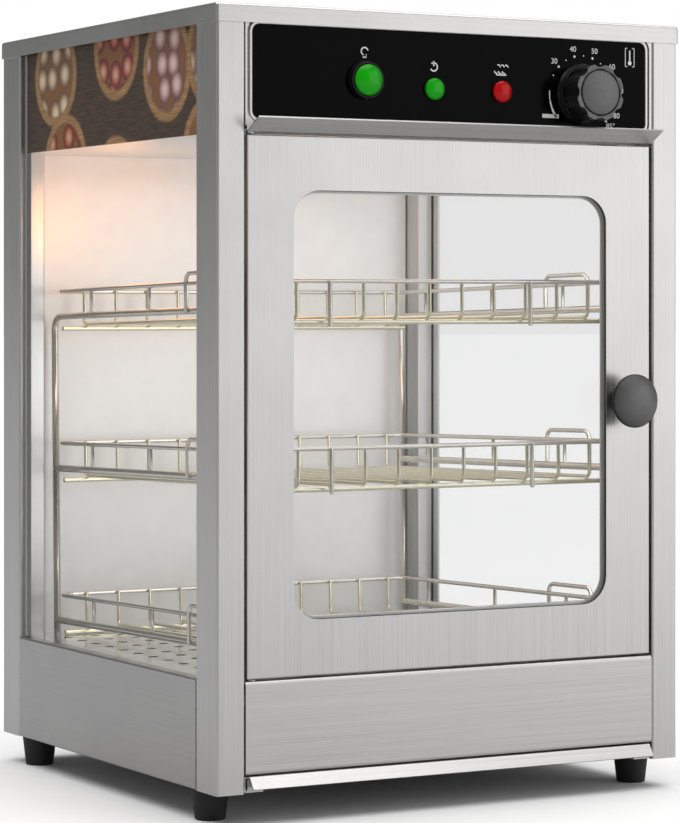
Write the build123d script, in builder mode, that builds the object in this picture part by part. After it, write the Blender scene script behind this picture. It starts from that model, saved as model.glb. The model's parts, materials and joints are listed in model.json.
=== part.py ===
from build123d import *
from math import cos, radians, sin
import os

os.makedirs("parts", exist_ok=True)

# A heated display case for a shop counter: a folded steel cabinet on four feet, glazed at both
# sides and in its door, with a lamp and a bottom heater round a removable three-tier wire rack.
# X runs to the right, Y to the back and Z up. The origin is under the middle of the whole, at
# the level of the feet. Lengths are millimetres, angles degrees.

# Cabinet
width = 352.0
depth = 344.0
casing_height = 500.0
foot_height = 20.0
front_reach = 25.2
rear_reach = 4.0

# Sheet metal and general clearances
sheet = 1.0
post_sheet = 1.2
sheet_bend = 1.6
seat_gap = 0.3
slip_gap = 0.05

# Posts
post_front = 20.0
post_side = 30.0
post_lip = 8.0
post_top_gap = 2.2
post_height = casing_height - post_top_gap
post_slit = 1.0
glass_inset = 1.5
pane = 4.0

# Base, sill and head levels, all above the bottom of the casing
sill_height = 71.5
head_height = 81.5
ceiling_height = casing_height - head_height
fascia_above_ceiling = 0.5
fascia_bottom = ceiling_height + fascia_above_ceiling
cover_skirt = 12.0
cover_overhang = 1.2
cover_round = 2.2

# Lower front panel
lower_panel_bottom = 11.3
lower_panel_top = 71.1
lower_panel_round = 2.6
lower_panel_flange = 15.0
lower_panel_end_gap = 0.5

# Side panels
side_panel_flange = 19.8
side_panel_ledge = 7.0

# Base rails and crumb tray
rail_bottom = 0.6
rail_height = 10.0
rail_foot = 13.7
rail_top_lip = 9.7
tray_sheet = 0.8
tray_front = 1.2
tray_back_space = 27.2
tray_length = depth - tray_back_space
tray_side_gap = 0.7
tray_wall = 6.5
tray_lip_inset = 23.0
tray_lip_width = width - 2 * tray_lip_inset
tray_lip_reach = 5.5
tray_lip_bottom = 3.0
tray_lip_top = 11.9
tray_lip_bend = 0.9

# Floor and ceiling pans
pan_front = 15.3
floor_skirt = 9.0
ceiling_skirt = 5.0
hole_radius = 3.5
hole_columns = 15
hole_rows = 11
hole_end_x = 28.58
hole_end_y = 55.25
hole_shift_y = 3.5
hole_pitch_x = (width - 2 * hole_end_x) / (hole_columns - 1)
hole_pitch_y = (depth - 2 * hole_end_y) / (hole_rows - 1)
tab_width = 12.0
tab_spacing = 180.0

# Back
back_space = 13.0
back_inner = depth - back_space
back_lip = 12.0
back_bottom = 12.0
rear_cover_bottom = 3.0
rear_screw_inset = 6.5
rear_screw_low = 40.0
rear_screw_top_space = 50.0
rear_screw_high = casing_height - rear_screw_top_space
rear_screw_heights = (rear_screw_low, (rear_screw_low + rear_screw_high) / 2, rear_screw_high)
vent_length = 40.0
vent_width = 3.6
vent_pitch_x = 52.0
vent_pitch_z = 9.0
vent_columns = 3
vent_rows = 4
vent_low = 40.0
vent_top_space = 45.0
vent_heights = (vent_low, casing_height - vent_top_space)

# Feet
foot_inset_x = 13.2
foot_inset_y = 35.8
foot_top_radius = 12.1
foot_bottom_radius = 9.8
foot_round = 1.2
foot_recess_radius = 5.6
foot_recess = 8.0
foot_screw_radius = 2.4

# Door
door_side_gap = 1.9
door_bottom_gap = 1.2
door_top_gap = 1.7
door_recess = 0.8
door_depth = 14.0
door_round = 0.9
window_side_space = 56.25
window_end_space = 35.15
window_x = -0.85
window_rise = 0.55
door_bottom = lower_panel_top + door_bottom_gap
door_top = fascia_bottom - door_top_gap
window_width = width - 2 * window_side_space
window_height = door_top - door_bottom - 2 * window_end_space
window_centre = (door_top + door_bottom) / 2 + window_rise
window_radius = 19.0
door_seal_thickness = 0.7
door_seal_width = 9.0
door_glass_thickness = 3.0
door_glass_overlap = 7.0
inner_frame_sheet = 0.8
inner_frame_step = 1.7
inner_frame_depth = 8.3
hinge_from_edge = 4.5
hinge_from_face = 4.0
hinge_pin_radius = 2.0
hinge_collar_radius = 3.5
hinge_plate = 2.0
hinge_plate_length = 15.0
hinge_plate_depth = 12.0
hinge_plate_front = 2.8
hinge_pin_entry = 4.0
hinge_notch = 9.0

# Door knob
knob_from_side = 45.5
knob_x = width / 2 - knob_from_side
knob_drop = 0.55
knob_height = window_centre - knob_drop
knob_radius = 18.0
knob_base_radius = 8.2
knob_waist_radius = 6.6
knob_rim_front = 17.0
knob_rim_back = 14.8
knob_reach = 24.0
knob_screw_radius = 1.95

# Catch
catch_from_side = 43.7
catch_x = width / 2 - catch_from_side
catch_width = 15.4
catch_height = 15.0
catch_depth = 12.0
strike_sheet = 1.2
strike_gap = 0.4

# Head: fascia, steam lip and control plate
fascia_recess = 0.4
fascia_end_gap = 0.4
lip_end_space = 21.6
lip_half_width = width / 2 - lip_end_space
lip_reach = 16.0
lip_rise = 8.3
lip_bend = 2.0
lip_corner_drop = 1.3
plate_side_space = 23.35
plate_width = width - 2 * plate_side_space
plate_end_space = 8.3
plate_height = casing_height - fascia_bottom - 2 * plate_end_space
plate_radius = 7.3
plate_x = -0.25
plate_top_space = 42.5
plate_centre = casing_height - plate_top_space
plate_margin = 1.4
plate_overlap = 1.2
plate_front = 0.1
panel_rim = 2.2
panel_sink = 0.3
panel_thickness = 1.2

# Push switch
switch_x = -69.0
switch_drop = 3.2
switch_height = plate_centre - switch_drop
switch_bezel_radius = 12.5
switch_ring_radius = 11.7
switch_bezel_reach = 4.6
switch_body_radius = 7.9
switch_body_length = 28.0
button_radius = 10.1
button_reach = 9.0
button_rim = 5.6
button_travel = 3.0
plunger_radius = 4.5

# Signal lamps
lamp_xs = (-17.0, 35.0)
signal_drop = 7.0
signal_height = plate_centre - signal_drop
signal_radius = 7.1
signal_reach = 3.9
signal_rim = 1.7
signal_body_radius = 5.0
signal_body_length = 24.0
signal_spigot_radius = 4.2
signal_spigot = 8.0

# Thermostat and its knob
dial_from_side = 77.0
dial_x = width / 2 - dial_from_side
dial_drop = 6.7
dial_height = plate_centre - dial_drop
dial_base_radius = 20.5
dial_step_radius = 19.2
dial_bore_radius = 17.9
dial_base_reach = 4.4
dial_knob_radius = 19.0
dial_knob_waist = 17.0
dial_lobes = 8
dial_scallop_radius = 5.6
dial_face = 22.0
dial_groove_radius = 15.3
dial_groove = 0.6
dial_dome_radius = 15.0
dial_index_length = 3.0
dial_index_width = 0.9
dial_hub_radius = 6.0
dial_cavity_radius = 14.5
dial_pointer_angle = 220.0
lobe_round = 1.4
shaft_radius = 3.0
shaft_front = 15.0
shaft_back = 12.0
thermostat_width = 36.0
thermostat_height = 50.0
thermostat_depth = 26.0
thermostat_screw_spacing = 28.0
capillary_radius = 1.2
bulb_radius = 3.0
bulb_length = 60.0
bulb_back_space = 54.0
bulb_y = depth - bulb_back_space
bulb_side_space = 51.0
bulb_x = width / 2 - bulb_side_space
bulb_drop = 7.5

# Heater
element_radius = 3.25
element_side_space = 51.0
element_half_width = width / 2 - element_side_space
element_front = 60.0
element_back_space = 59.0
element_back = depth - element_back_space
element_bend = 25.0
element_height = 40.0
terminal_x = 30.0
terminal_back_space = 5.5
terminal_y = depth - terminal_back_space
hanger_y = 120.0
hanger_width = 12.0
hanger_side_space = 31.0
hanger_half_width = width / 2 - hanger_side_space

# Cabinet lamp
light_x = -4.0
light_shift_y = 3.0
light_y = depth / 2 + light_shift_y
light_drop = 28.0
light_dome_radius = 26.0
light_neck_radius = 20.4
light_glass = 2.0
light_ring_radius = 30.0
light_cup_radius = 24.0
light_cup_headroom = 53.5
light_cup_height = head_height - light_cup_headroom
socket_radius = 11.0
globe_radius = 11.0

# Screws
screw_radius = 2.0
screw_head_radius = 3.2
screw_head = 2.0

# Wire rack
rack_side_space = 31.0
rack_half_width = width / 2 - rack_side_space
rack_end_space = 60.0
rack_length = depth - rack_end_space
rack_back_space = 30.9
rack_rear = depth - rack_back_space
rack_tilt = 1.2
rack_corner = 10.0
tiers = ("bottom", "middle", "top")
tier_headroom = 18.5
tier_pitch = (ceiling_height - sill_height - tier_headroom) / len(tiers)
rail_wire = 1.5
floor_wire = 1.25
cross_wire = 1.75
frame_wire = 2.5
weld = 0.3
joint_gap = 0.03
rail_above_cross = 26.8
frame_above_cross = 8.6
cross_inset = 5.0
cross_end_gap = 2.4
floor_wires = 11
floor_end_space = 19.0
floor_pitch = 2 * (rack_half_width - floor_end_space) / (floor_wires - 1)
floor_shift = 1.6
floor_bend = 4.0
floor_wire_top = 1.0
side_wire_middle = rack_length / 2 + 13.0
side_wire_pitch = 95.0
side_wire_places = [side_wire_middle + step * side_wire_pitch for step in (-1, 0, 1)]
handle_length = 54.0
handle_rise = 6.5
handle_bend = 6.0
handle_left_space = 65.0
handle_left = rack_length - handle_left_space
handle_right_space = 88.0
handle_right = rack_length - handle_right_space
tab_wire = 1.5
tab_x = 77.5
tab_drop = 3.0
upright_bend = 10.0
side_bar_length = 288.0

half_width = width / 2
front_y = -(front_reach + depth + rear_reach) / 2 + front_reach
rebate = glass_inset + pane + seat_gap
inner_x = half_width - post_front
pan_half_width = half_width - side_panel_ledge - seat_gap
pan_inner_half_width = inner_x - seat_gap
pan_wing_front = post_side + seat_gap


def y_at(distance):
    """Y of what lies this far behind the front of the posts."""
    return front_y + distance


def z_at(height):
    """Z of what lies this far above the bottom of the casing."""
    return foot_height + height


def facing_front(distance):
    """Upright plane this far behind the front of the posts, seen from the front."""
    return Plane.XZ.offset(-y_at(distance))


def folded(plane, points, thickness, bend, side=Side.LEFT):
    """Section of a folded sheet whose outer face follows the points."""
    with BuildSketch(plane) as section:
        with BuildLine():
            FilletPolyline(*points, radius=bend)
            offset(amount=thickness, side=side)
        make_face()
    return section.sketch


def wire(points, radius, bend=0.0, plane=Plane.XY):
    """A round wire bent through the points, which are given on the plane."""
    with BuildLine(plane) as route:
        if bend:
            FilletPolyline(*points, radius=bend)
        else:
            Polyline(*points)
    with BuildPart() as bar:
        with BuildSketch(Plane(origin=route.line @ 0, z_dir=route.line % 0)):
            Circle(radius)
        sweep(path=route.line)
    return bar.part


def save(part, name):
    """Labels a finished piece and writes it under its own name."""
    part.label = name
    export_step(part, f"parts/{name}.step")


# Posts: folded box sections with a rebate and a lip that hold the side glass
post_points = [
    (rebate, post_side + post_lip),
    (rebate, post_side),
    (0, post_side),
    (0, 0),
    (post_front, 0),
    (post_front, post_side),
    (rebate + post_sheet + post_slit, post_side),
]
post_path = [(-half_width + x, y_at(y)) for x, y in post_points]
with BuildPart() as front_post_left:
    section = folded(Plane.XY.offset(z_at(0)), post_path, post_sheet, sheet_bend, Side.RIGHT)
    extrude(section, amount=post_height)
    with BuildSketch(Plane.XY.offset(z_at(0))):
        with Locations((-half_width + post_front / 2, y_at(post_side + post_lip))):
            Rectangle(post_front, 2 * post_lip - 2 * slip_gap)
    extrude(amount=sill_height + seat_gap, mode=Mode.SUBTRACT)
save(front_post_left.part, "front_post_left")

with BuildPart() as front_post_right:
    mirror(front_post_left.part, about=Plane.YZ)
save(front_post_right.part, "front_post_right")

with BuildPart() as rear_post_left:
    mirror(front_post_left.part, about=facing_front(depth / 2))
save(rear_post_left.part, "rear_post_left")

with BuildPart() as rear_post_right:
    mirror(front_post_right.part, about=facing_front(depth / 2))
save(rear_post_right.part, "rear_post_right")

# Top cover: a shallow inverted tray that overhangs the posts all round
with BuildPart() as top_cover:
    with BuildSketch(Plane.XY.offset(z_at(casing_height - cover_skirt))):
        with Locations((0, y_at(depth / 2))):
            Rectangle(width + 2 * cover_overhang, depth + 2 * cover_overhang)
    extrude(amount=cover_skirt)
    fillet(top_cover.edges().filter_by(Axis.Z), radius=cover_round)
    fillet(top_cover.faces().sort_by(Axis.Z)[-1].edges(), radius=cover_round)
    offset(amount=-sheet, openings=top_cover.faces().sort_by(Axis.Z)[0])
save(top_cover.part, "top_cover")

# Side panels: flush between the posts, with a ledge under the glass and a foot flange
side_panel_path = [
    (-half_width + side_panel_ledge, z_at(sill_height)),
    (-half_width, z_at(sill_height)),
    (-half_width, z_at(0)),
    (-half_width + side_panel_flange, z_at(0)),
]
foot_y = (y_at(foot_inset_y), y_at(depth - foot_inset_y))
foot_x = half_width - foot_inset_x
side_panel_rear = depth - post_side - seat_gap
with BuildPart() as side_panel_left:
    section = folded(facing_front(side_panel_rear), side_panel_path, sheet, sheet_bend)
    extrude(section, amount=side_panel_rear - post_side - seat_gap)
    with BuildSketch(Plane.XY.offset(z_at(0))):
        with Locations(*[(-foot_x, y) for y in foot_y]):
            Circle(foot_screw_radius + seat_gap)
    extrude(amount=sheet, mode=Mode.SUBTRACT)
save(side_panel_left.part, "side_panel_left")

with BuildPart() as side_panel_right:
    mirror(side_panel_left.part, about=Plane.YZ)
save(side_panel_right.part, "side_panel_right")

# Hinge line, shared by the door and both hinge brackets
door_half_width = inner_x - door_side_gap
hinge_x = -door_half_width + hinge_from_edge
hinge_y = y_at(door_recess + hinge_from_face)

# Lower front panel: flush with the posts, soft folds along its top and bottom
lower_panel_path = [
    (y_at(lower_panel_flange), z_at(lower_panel_top)),
    (y_at(0), z_at(lower_panel_top)),
    (y_at(0), z_at(lower_panel_bottom)),
    (y_at(lower_panel_flange), z_at(lower_panel_bottom)),
]
lower_panel_half = inner_x - lower_panel_end_gap
with BuildPart() as lower_front_panel:
    panel_start = Plane.YZ.offset(-lower_panel_half)
    section = folded(panel_start, lower_panel_path, sheet, lower_panel_round)
    extrude(section, amount=2 * lower_panel_half)
    with BuildSketch(Plane.XY.offset(z_at(lower_panel_top))):
        with Locations((hinge_x, hinge_y)):
            Circle(hinge_pin_radius + seat_gap)
    extrude(amount=-2 * sheet, mode=Mode.SUBTRACT)
save(lower_front_panel.part, "lower_front_panel")

# Base rails: channels along both sides that carry the crumb tray
rail_outer = -inner_x + seat_gap
rail_path = [
    (rail_outer + rail_top_lip, z_at(rail_bottom + rail_height)),
    (rail_outer, z_at(rail_bottom + rail_height)),
    (rail_outer, z_at(rail_bottom)),
    (rail_outer + rail_foot, z_at(rail_bottom)),
]
rail_front = 2.0
with BuildPart() as base_rail_left:
    section = folded(facing_front(back_inner - sheet), rail_path, sheet, sheet_bend)
    extrude(section, amount=back_inner - sheet - rail_front)
save(base_rail_left.part, "base_rail_left")

with BuildPart() as base_rail_right:
    mirror(base_rail_left.part, about=Plane.YZ)
save(base_rail_right.part, "base_rail_right")

# Crumb tray: a shallow pan with a front lip folded over and outwards as its pull
tray_bottom = rail_bottom + sheet + seat_gap
tray_width = 2 * (inner_x - seat_gap - sheet - tray_side_gap)
tray_lip_path = [
    (y_at(tray_front), z_at(tray_bottom + tray_wall)),
    (y_at(tray_front), z_at(tray_lip_top)),
    (y_at(-tray_lip_reach), z_at(tray_lip_bottom)),
]
with BuildPart() as crumb_tray:
    with BuildSketch(Plane.XY.offset(z_at(tray_bottom))):
        with Locations((0, y_at(tray_front + tray_length / 2))):
            Rectangle(tray_width, tray_length)
    extrude(amount=tray_wall)
    fillet(crumb_tray.edges().filter_by(Axis.Z).group_by(Axis.Y)[-1], radius=3 * tray_sheet)
    offset(amount=-tray_sheet, openings=crumb_tray.faces().sort_by(Axis.Z)[-1])
    lip_plane = Plane.YZ.offset(-tray_lip_width / 2)
    section = folded(lip_plane, tray_lip_path, tray_sheet, tray_lip_bend, Side.RIGHT)
    extrude(section, amount=tray_lip_width)
save(crumb_tray.part, "crumb_tray")

# Wire rack frame of reference: it leans back a little, its front resting on the floor's tabs
floor_top = sill_height
rack_lean = Vector(0, sin(radians(rack_tilt)), cos(radians(rack_tilt)))
rack_plane = Plane(
    origin=(0, y_at(rack_rear), z_at(floor_top + seat_gap / 2)),
    x_dir=(1, 0, 0),
    z_dir=rack_lean,
)
rest_bar = rack_plane.from_local_coords(Vector(0, cross_inset - rack_length, cross_wire))


def pan_outline():
    """Outline of the floor and ceiling: the room between the posts, with wings to the glass."""
    with BuildSketch() as outline:
        with Locations((0, y_at((pan_front + back_inner - seat_gap) / 2))):
            Rectangle(2 * pan_inner_half_width, back_inner - seat_gap - pan_front)
        with Locations((0, y_at(depth / 2))):
            Rectangle(2 * pan_half_width, depth - 2 * pan_wing_front)
    return outline.sketch


pan_area = pan_outline()
pan_inside = offset(pan_area, amount=-sheet, kind=Kind.INTERSECTION)

# Floor plate: perforated, with its edges folded down and two tabs raised under the rack
hole_centre = y_at(depth / 2 + hole_shift_y)
tab_height = rest_bar.Z - cross_wire - seat_gap / 2 - z_at(floor_top)
with BuildPart() as floor_plate:
    with BuildSketch(Plane.XY.offset(z_at(floor_top))):
        add(pan_area)
    extrude(amount=-floor_skirt)
    with BuildSketch(Plane.XY.offset(z_at(floor_top - sheet))):
        add(pan_inside)
    extrude(amount=-floor_skirt, mode=Mode.SUBTRACT)
    with BuildSketch(Plane.XY.offset(z_at(floor_top))):
        with Locations((0, hole_centre)):
            with GridLocations(hole_pitch_x, hole_pitch_y, hole_columns, hole_rows):
                Circle(hole_radius)
    extrude(amount=-sheet, mode=Mode.SUBTRACT)
    with BuildSketch(Plane.XY.offset(z_at(floor_top))):
        with Locations((-tab_spacing / 2, rest_bar.Y), (tab_spacing / 2, rest_bar.Y)):
            Rectangle(tab_width, sheet)
    extrude(amount=tab_height)
save(floor_plate.part, "floor_plate")

# Ceiling liner: the same outline turned up, with the lamp's hole and the capillary's
with BuildPart() as ceiling_liner:
    with BuildSketch(Plane.XY.offset(z_at(ceiling_height))):
        add(pan_area)
    extrude(amount=ceiling_skirt)
    with BuildSketch(Plane.XY.offset(z_at(ceiling_height + sheet))):
        add(pan_inside)
    extrude(amount=ceiling_skirt, mode=Mode.SUBTRACT)
    with BuildSketch(Plane.XY.offset(z_at(ceiling_height))):
        with Locations((light_x, y_at(light_y))):
            Circle(light_cup_radius + seat_gap)
        with Locations((bulb_x, y_at(bulb_y))):
            Circle(2 * capillary_radius)
    extrude(amount=sheet, mode=Mode.SUBTRACT)
save(ceiling_liner.part, "ceiling_liner")

# Back liner: a channel between the rear posts, its lips carrying the rear cover's screws
cover_inner = depth - sheet
liner_lip_y = y_at(cover_inner - seat_gap / 2)
back_path = [
    (-pan_inner_half_width + back_lip, liner_lip_y),
    (-pan_inner_half_width, liner_lip_y),
    (-pan_inner_half_width, y_at(back_inner)),
    (pan_inner_half_width, y_at(back_inner)),
    (pan_inner_half_width, liner_lip_y),
    (pan_inner_half_width - back_lip, liner_lip_y),
]
rear_screw_x = pan_inner_half_width - rear_screw_inset
rear_screws = [(x, z_at(h)) for x in (-rear_screw_x, rear_screw_x) for h in rear_screw_heights]
loom_x = 50.0
loom_height = 430.0
inlet_side_space = 61.0
inlet_x = width / 2 - inlet_side_space
inlet_top_space = 45.0
inlet_height = casing_height - inlet_top_space
loom_hole = 4.0
inlet_hole = 6.0
with BuildPart() as back_liner:
    section = folded(Plane.XY.offset(z_at(back_bottom)), back_path, sheet, sheet_bend)
    extrude(section, amount=casing_height - sheet - seat_gap - back_bottom)
    with BuildSketch(facing_front(cover_inner)):
        with Locations(*rear_screws):
            Circle(screw_radius + slip_gap)
    extrude(amount=2 * sheet, mode=Mode.SUBTRACT)
    with BuildSketch(facing_front(back_inner + sheet)):
        terminal_z = z_at(element_height)
        with Locations((-terminal_x, terminal_z), (terminal_x, terminal_z)):
            Circle(element_radius + seat_gap)
        with Locations((loom_x, z_at(loom_height))):
            Circle(loom_hole)
        with Locations((inlet_x, z_at(inlet_height))):
            Circle(inlet_hole)
    extrude(amount=sheet, mode=Mode.SUBTRACT)
save(back_liner.part, "back_liner")

# Rear cover: a flat sheet flush with the rear posts, with two groups of vent slots
gland_radius = 7.8
rear_cover_top = casing_height - cover_skirt - seat_gap
with BuildPart() as rear_cover:
    with BuildSketch(facing_front(depth)):
        with Locations((0, z_at((rear_cover_bottom + rear_cover_top) / 2))):
            Rectangle(2 * pan_inner_half_width, rear_cover_top - rear_cover_bottom)
        with Locations(*rear_screws):
            Circle(screw_radius + slip_gap, mode=Mode.SUBTRACT)
        with Locations((inlet_x, z_at(inlet_height))):
            Circle(gland_radius + slip_gap, mode=Mode.SUBTRACT)
        for height in vent_heights:
            with Locations((-vent_pitch_x / 2, z_at(height))):
                with GridLocations(vent_pitch_x, vent_pitch_z, vent_columns, vent_rows):
                    SlotOverall(vent_length, vent_width, mode=Mode.SUBTRACT)
    extrude(amount=sheet)
save(rear_cover.part, "rear_cover")

# Cord gland: flange and nose behind the cover, nut inside it, open bore for the cord
gland_bore = 3.8
gland_flange_radius = 12.0
gland_flange = 2.0
gland_nut = 4.5
gland_axis = Axis((inlet_x, 0, z_at(inlet_height)), (0, 1, 0))
with BuildPart() as cord_gland:
    with BuildSketch(Plane.XY.offset(z_at(inlet_height))):
        with BuildLine():
            Polyline(
                (inlet_x + gland_bore, y_at(cover_inner - gland_nut)),
                (inlet_x + gland_flange_radius - 1.5, y_at(cover_inner - gland_nut)),
                (inlet_x + gland_flange_radius - 1.5, y_at(cover_inner - slip_gap)),
                (inlet_x + gland_radius, y_at(cover_inner - slip_gap)),
                (inlet_x + gland_radius, y_at(depth + slip_gap)),
                (inlet_x + gland_flange_radius, y_at(depth + slip_gap)),
                (inlet_x + gland_flange_radius, y_at(depth + gland_flange)),
                (inlet_x + gland_radius, y_at(depth + rear_reach)),
                (inlet_x + gland_bore, y_at(depth + rear_reach)),
                close=True,
            )
        make_face()
    revolve(axis=gland_axis)
save(cord_gland.part, "cord_gland")


def pan_screw(plane, shank):
    """A pan-head screw with its head's underside on the plane and its shank behind it."""
    with BuildPart() as screw:
        with BuildSketch(plane):
            Circle(screw_head_radius)
        extrude(amount=screw_head)
        fillet(screw.faces().sort_by(Axis(plane.origin, plane.z_dir))[-1].edges(), radius=screw_head / 2)
        with BuildSketch(plane):
            Circle(screw_radius)
        extrude(amount=-shank)
    return screw.part


# Case screws: six in the rear cover and two that hold the thermostat behind the panel
def screw_plane(x, y, z, towards):
    return Plane(origin=(x, y, z), x_dir=(1, 0, 0), z_dir=(0, towards, 0))


panel_front = plate_front + panel_sink
case_screw_planes = [screw_plane(x, y_at(depth + slip_gap), z, 1) for x, z in rear_screws]
for side in (-1, 1):
    screw_x = dial_x + side * thermostat_screw_spacing / 2
    panel_y = y_at(panel_front - slip_gap)
    case_screw_planes.append(screw_plane(screw_x, panel_y, z_at(dial_height), -1))
rear_shank = 3.0
case_screw_solids = [pan_screw(plane, rear_shank) for plane in case_screw_planes]
with BuildPart() as case_screws:
    add(case_screw_solids)
save(case_screws.part, "case_screws")

# Side glass and the printed film behind its top
glass_length = depth - 2 * pan_wing_front
glass_top = 494.0
with BuildPart() as side_glass_left:
    with BuildSketch(Plane.XY.offset(z_at(sill_height + seat_gap))):
        with Locations((-half_width + glass_inset + pane / 2, y_at(depth / 2))):
            Rectangle(pane, glass_length)
    extrude(amount=glass_top - sill_height - seat_gap)
    chamfer(side_glass_left.edges(), length=0.4)
save(side_glass_left.part, "side_glass_left")

with BuildPart() as side_glass_right:
    mirror(side_glass_left.part, about=Plane.YZ)
save(side_glass_right.part, "side_glass_right")

film = 0.2
film_x = -half_width + glass_inset + pane + slip_gap + film / 2
with BuildPart() as print_strip_left:
    with BuildSketch(Plane.XY.offset(z_at(ceiling_height))):
        with Locations((film_x, y_at(depth / 2))):
            Rectangle(film, glass_length - 3 * sheet)
    extrude(amount=glass_top - ceiling_height - sheet)
save(print_strip_left.part, "print_strip_left")

with BuildPart() as print_strip_right:
    mirror(print_strip_left.part, about=Plane.YZ)
save(print_strip_right.part, "print_strip_right")

# Fascia frame: the head's front sheet, its lower edge folded out and up as a steam lip
fascia_half = inner_x - fascia_end_gap
fascia_back = fascia_recess + sheet
steam_lip_path = [
    (y_at(fascia_back), z_at(fascia_bottom + lip_reach / 3)),
    (y_at(fascia_back), z_at(fascia_bottom - lip_corner_drop)),
    (y_at(-lip_reach), z_at(fascia_bottom + lip_rise)),
]
with BuildPart() as fascia_frame:
    with BuildSketch(facing_front(fascia_back)):
        fascia_top = casing_height - sheet - seat_gap
        fascia_start = fascia_bottom + lip_reach / 4
        with Locations((0, z_at((fascia_start + fascia_top) / 2))):
            Rectangle(2 * fascia_half, fascia_top - fascia_start)
        with Locations((plate_x, z_at(plate_centre))):
            opening_width = plate_width + 2 * plate_margin
            opening_height = plate_height + 2 * plate_margin
            opening_radius = plate_radius + plate_margin
            RectangleRounded(opening_width, opening_height, opening_radius, mode=Mode.SUBTRACT)
    extrude(amount=sheet)
    lip_start = Plane.YZ.offset(-lip_half_width)
    section = folded(lip_start, steam_lip_path, sheet, lip_bend, Side.RIGHT)
    extrude(section, amount=2 * lip_half_width)
save(fascia_frame.part, "fascia_frame")


def control_holes(clearance):
    """The holes for the switch, the two lamps and the thermostat, cut from the open sketch."""
    with Locations((switch_x, z_at(switch_height))):
        Circle(switch_body_radius + clearance, mode=Mode.SUBTRACT)
    with Locations(*[(x, z_at(signal_height)) for x in lamp_xs]):
        Circle(signal_body_radius + clearance, mode=Mode.SUBTRACT)
    with Locations((dial_x, z_at(dial_height))):
        Circle(boss_radius + clearance, mode=Mode.SUBTRACT)
        with GridLocations(thermostat_screw_spacing, 1, 2, 1):
            Circle(screw_radius + slip_gap, mode=Mode.SUBTRACT)


# Control plate: a steel backing sheet with a raised rim that frames the black panel
boss_radius = 5.0
panel_width = plate_width - 2 * panel_rim
panel_height = plate_height - 2 * panel_rim
panel_radius = plate_radius - panel_rim
plate_face = fascia_back + seat_gap
backing_grow = 2 * (plate_margin + plate_overlap)
with BuildPart() as control_plate:
    with BuildSketch(facing_front(plate_face + sheet)):
        with Locations((plate_x, z_at(plate_centre))):
            backing_radius = plate_radius + backing_grow / 2
            RectangleRounded(plate_width + backing_grow, plate_height + backing_grow, backing_radius)
        control_holes(slip_gap)
    extrude(amount=sheet)
    with BuildSketch(facing_front(plate_face)):
        with Locations((plate_x, z_at(plate_centre))):
            RectangleRounded(plate_width, plate_height, plate_radius)
            RectangleRounded(panel_width, panel_height, panel_radius, mode=Mode.SUBTRACT)
    extrude(amount=plate_face - plate_front)
    rim_edges = control_plate.faces().sort_by(Axis.Y)[0].edges()
    fillet(rim_edges, radius=0.6)
save(control_plate.part, "control_plate")

# Control panel: the black inlay
with BuildPart() as control_panel:
    with BuildSketch(facing_front(panel_front + panel_thickness)):
        with Locations((plate_x, z_at(plate_centre))):
            inlay_radius = panel_radius - 2 * slip_gap
            inlay_gap = 4 * slip_gap
            RectangleRounded(panel_width - inlay_gap, panel_height - inlay_gap, inlay_radius)
        control_holes(slip_gap)
    extrude(amount=panel_thickness)
save(control_panel.part, "control_panel")


def turned(x, height, outline):
    """A piece turned about a front-to-back axis, from radius and distance behind the posts."""
    axis = Axis((x, 0, z_at(height)), (0, 1, 0))
    with BuildPart() as body:
        with BuildSketch(Plane.XY.offset(z_at(height))):
            with BuildLine():
                Polyline(*[(x + radius, y_at(y)) for radius, y in outline], close=True)
            make_face()
        revolve(axis=axis)
    return body.part


# Push switch: stepped bezel on the panel, body and ring nut behind it, bored for the plunger
plate_back = plate_face + sheet
cup_floor = button_travel - switch_bezel_reach + seat_gap
switch_bore = plunger_radius + seat_gap
plunger_end = 9.0
switch_nut_radius = 10.5
switch_nut = 3.0
switch_outline = [
    (switch_bore, cup_floor),
    (button_radius + seat_gap, cup_floor),
    (button_radius + seat_gap, -switch_bezel_reach),
    (switch_ring_radius, -switch_bezel_reach),
    (switch_ring_radius, -switch_bezel_reach / 2),
    (switch_bezel_radius, -switch_bezel_reach / 2 + 0.4),
    (switch_bezel_radius, panel_front - slip_gap),
    (switch_body_radius, panel_front - slip_gap),
    (switch_body_radius, plate_back + slip_gap),
    (switch_nut_radius, plate_back + slip_gap),
    (switch_nut_radius, plate_back + switch_nut),
    (switch_body_radius, plate_back + switch_nut),
    (switch_body_radius, switch_body_length),
    (0, switch_body_length),
    (0, plunger_end + 2 * button_travel),
    (switch_bore, plunger_end + 2 * button_travel),
]
save(turned(switch_x, switch_height, switch_outline), "switch_body")

def domed(x, height, stem_radius, stem_end, back, rim_radius, rim, reach):
    """A domed lens on a round stem, turned about a front-to-back axis."""
    tip = (x, y_at(-reach))
    rim_point = (x + rim_radius, y_at(-rim))
    outline = [
        tip,
        (x, y_at(stem_end)),
        (x + stem_radius, y_at(stem_end)),
        (x + stem_radius, y_at(back)),
        (x + rim_radius, y_at(back)),
        rim_point,
    ]
    with BuildPart() as lens:
        with BuildSketch(Plane.XY.offset(z_at(height))):
            with BuildLine():
                Polyline(*outline)
                TangentArc(tip, rim_point, tangent=(1, 0))
            make_face()
        revolve(axis=Axis((x, 0, z_at(height)), (0, 1, 0)))
    return lens.part


# Push button: a domed green lens on a plunger
button_back = -switch_bezel_reach + seat_gap
button_sizes = (plunger_radius, plunger_end, button_back, button_radius, button_rim, button_reach)
save(domed(switch_x, switch_height, *button_sizes), "light_button")

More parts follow.
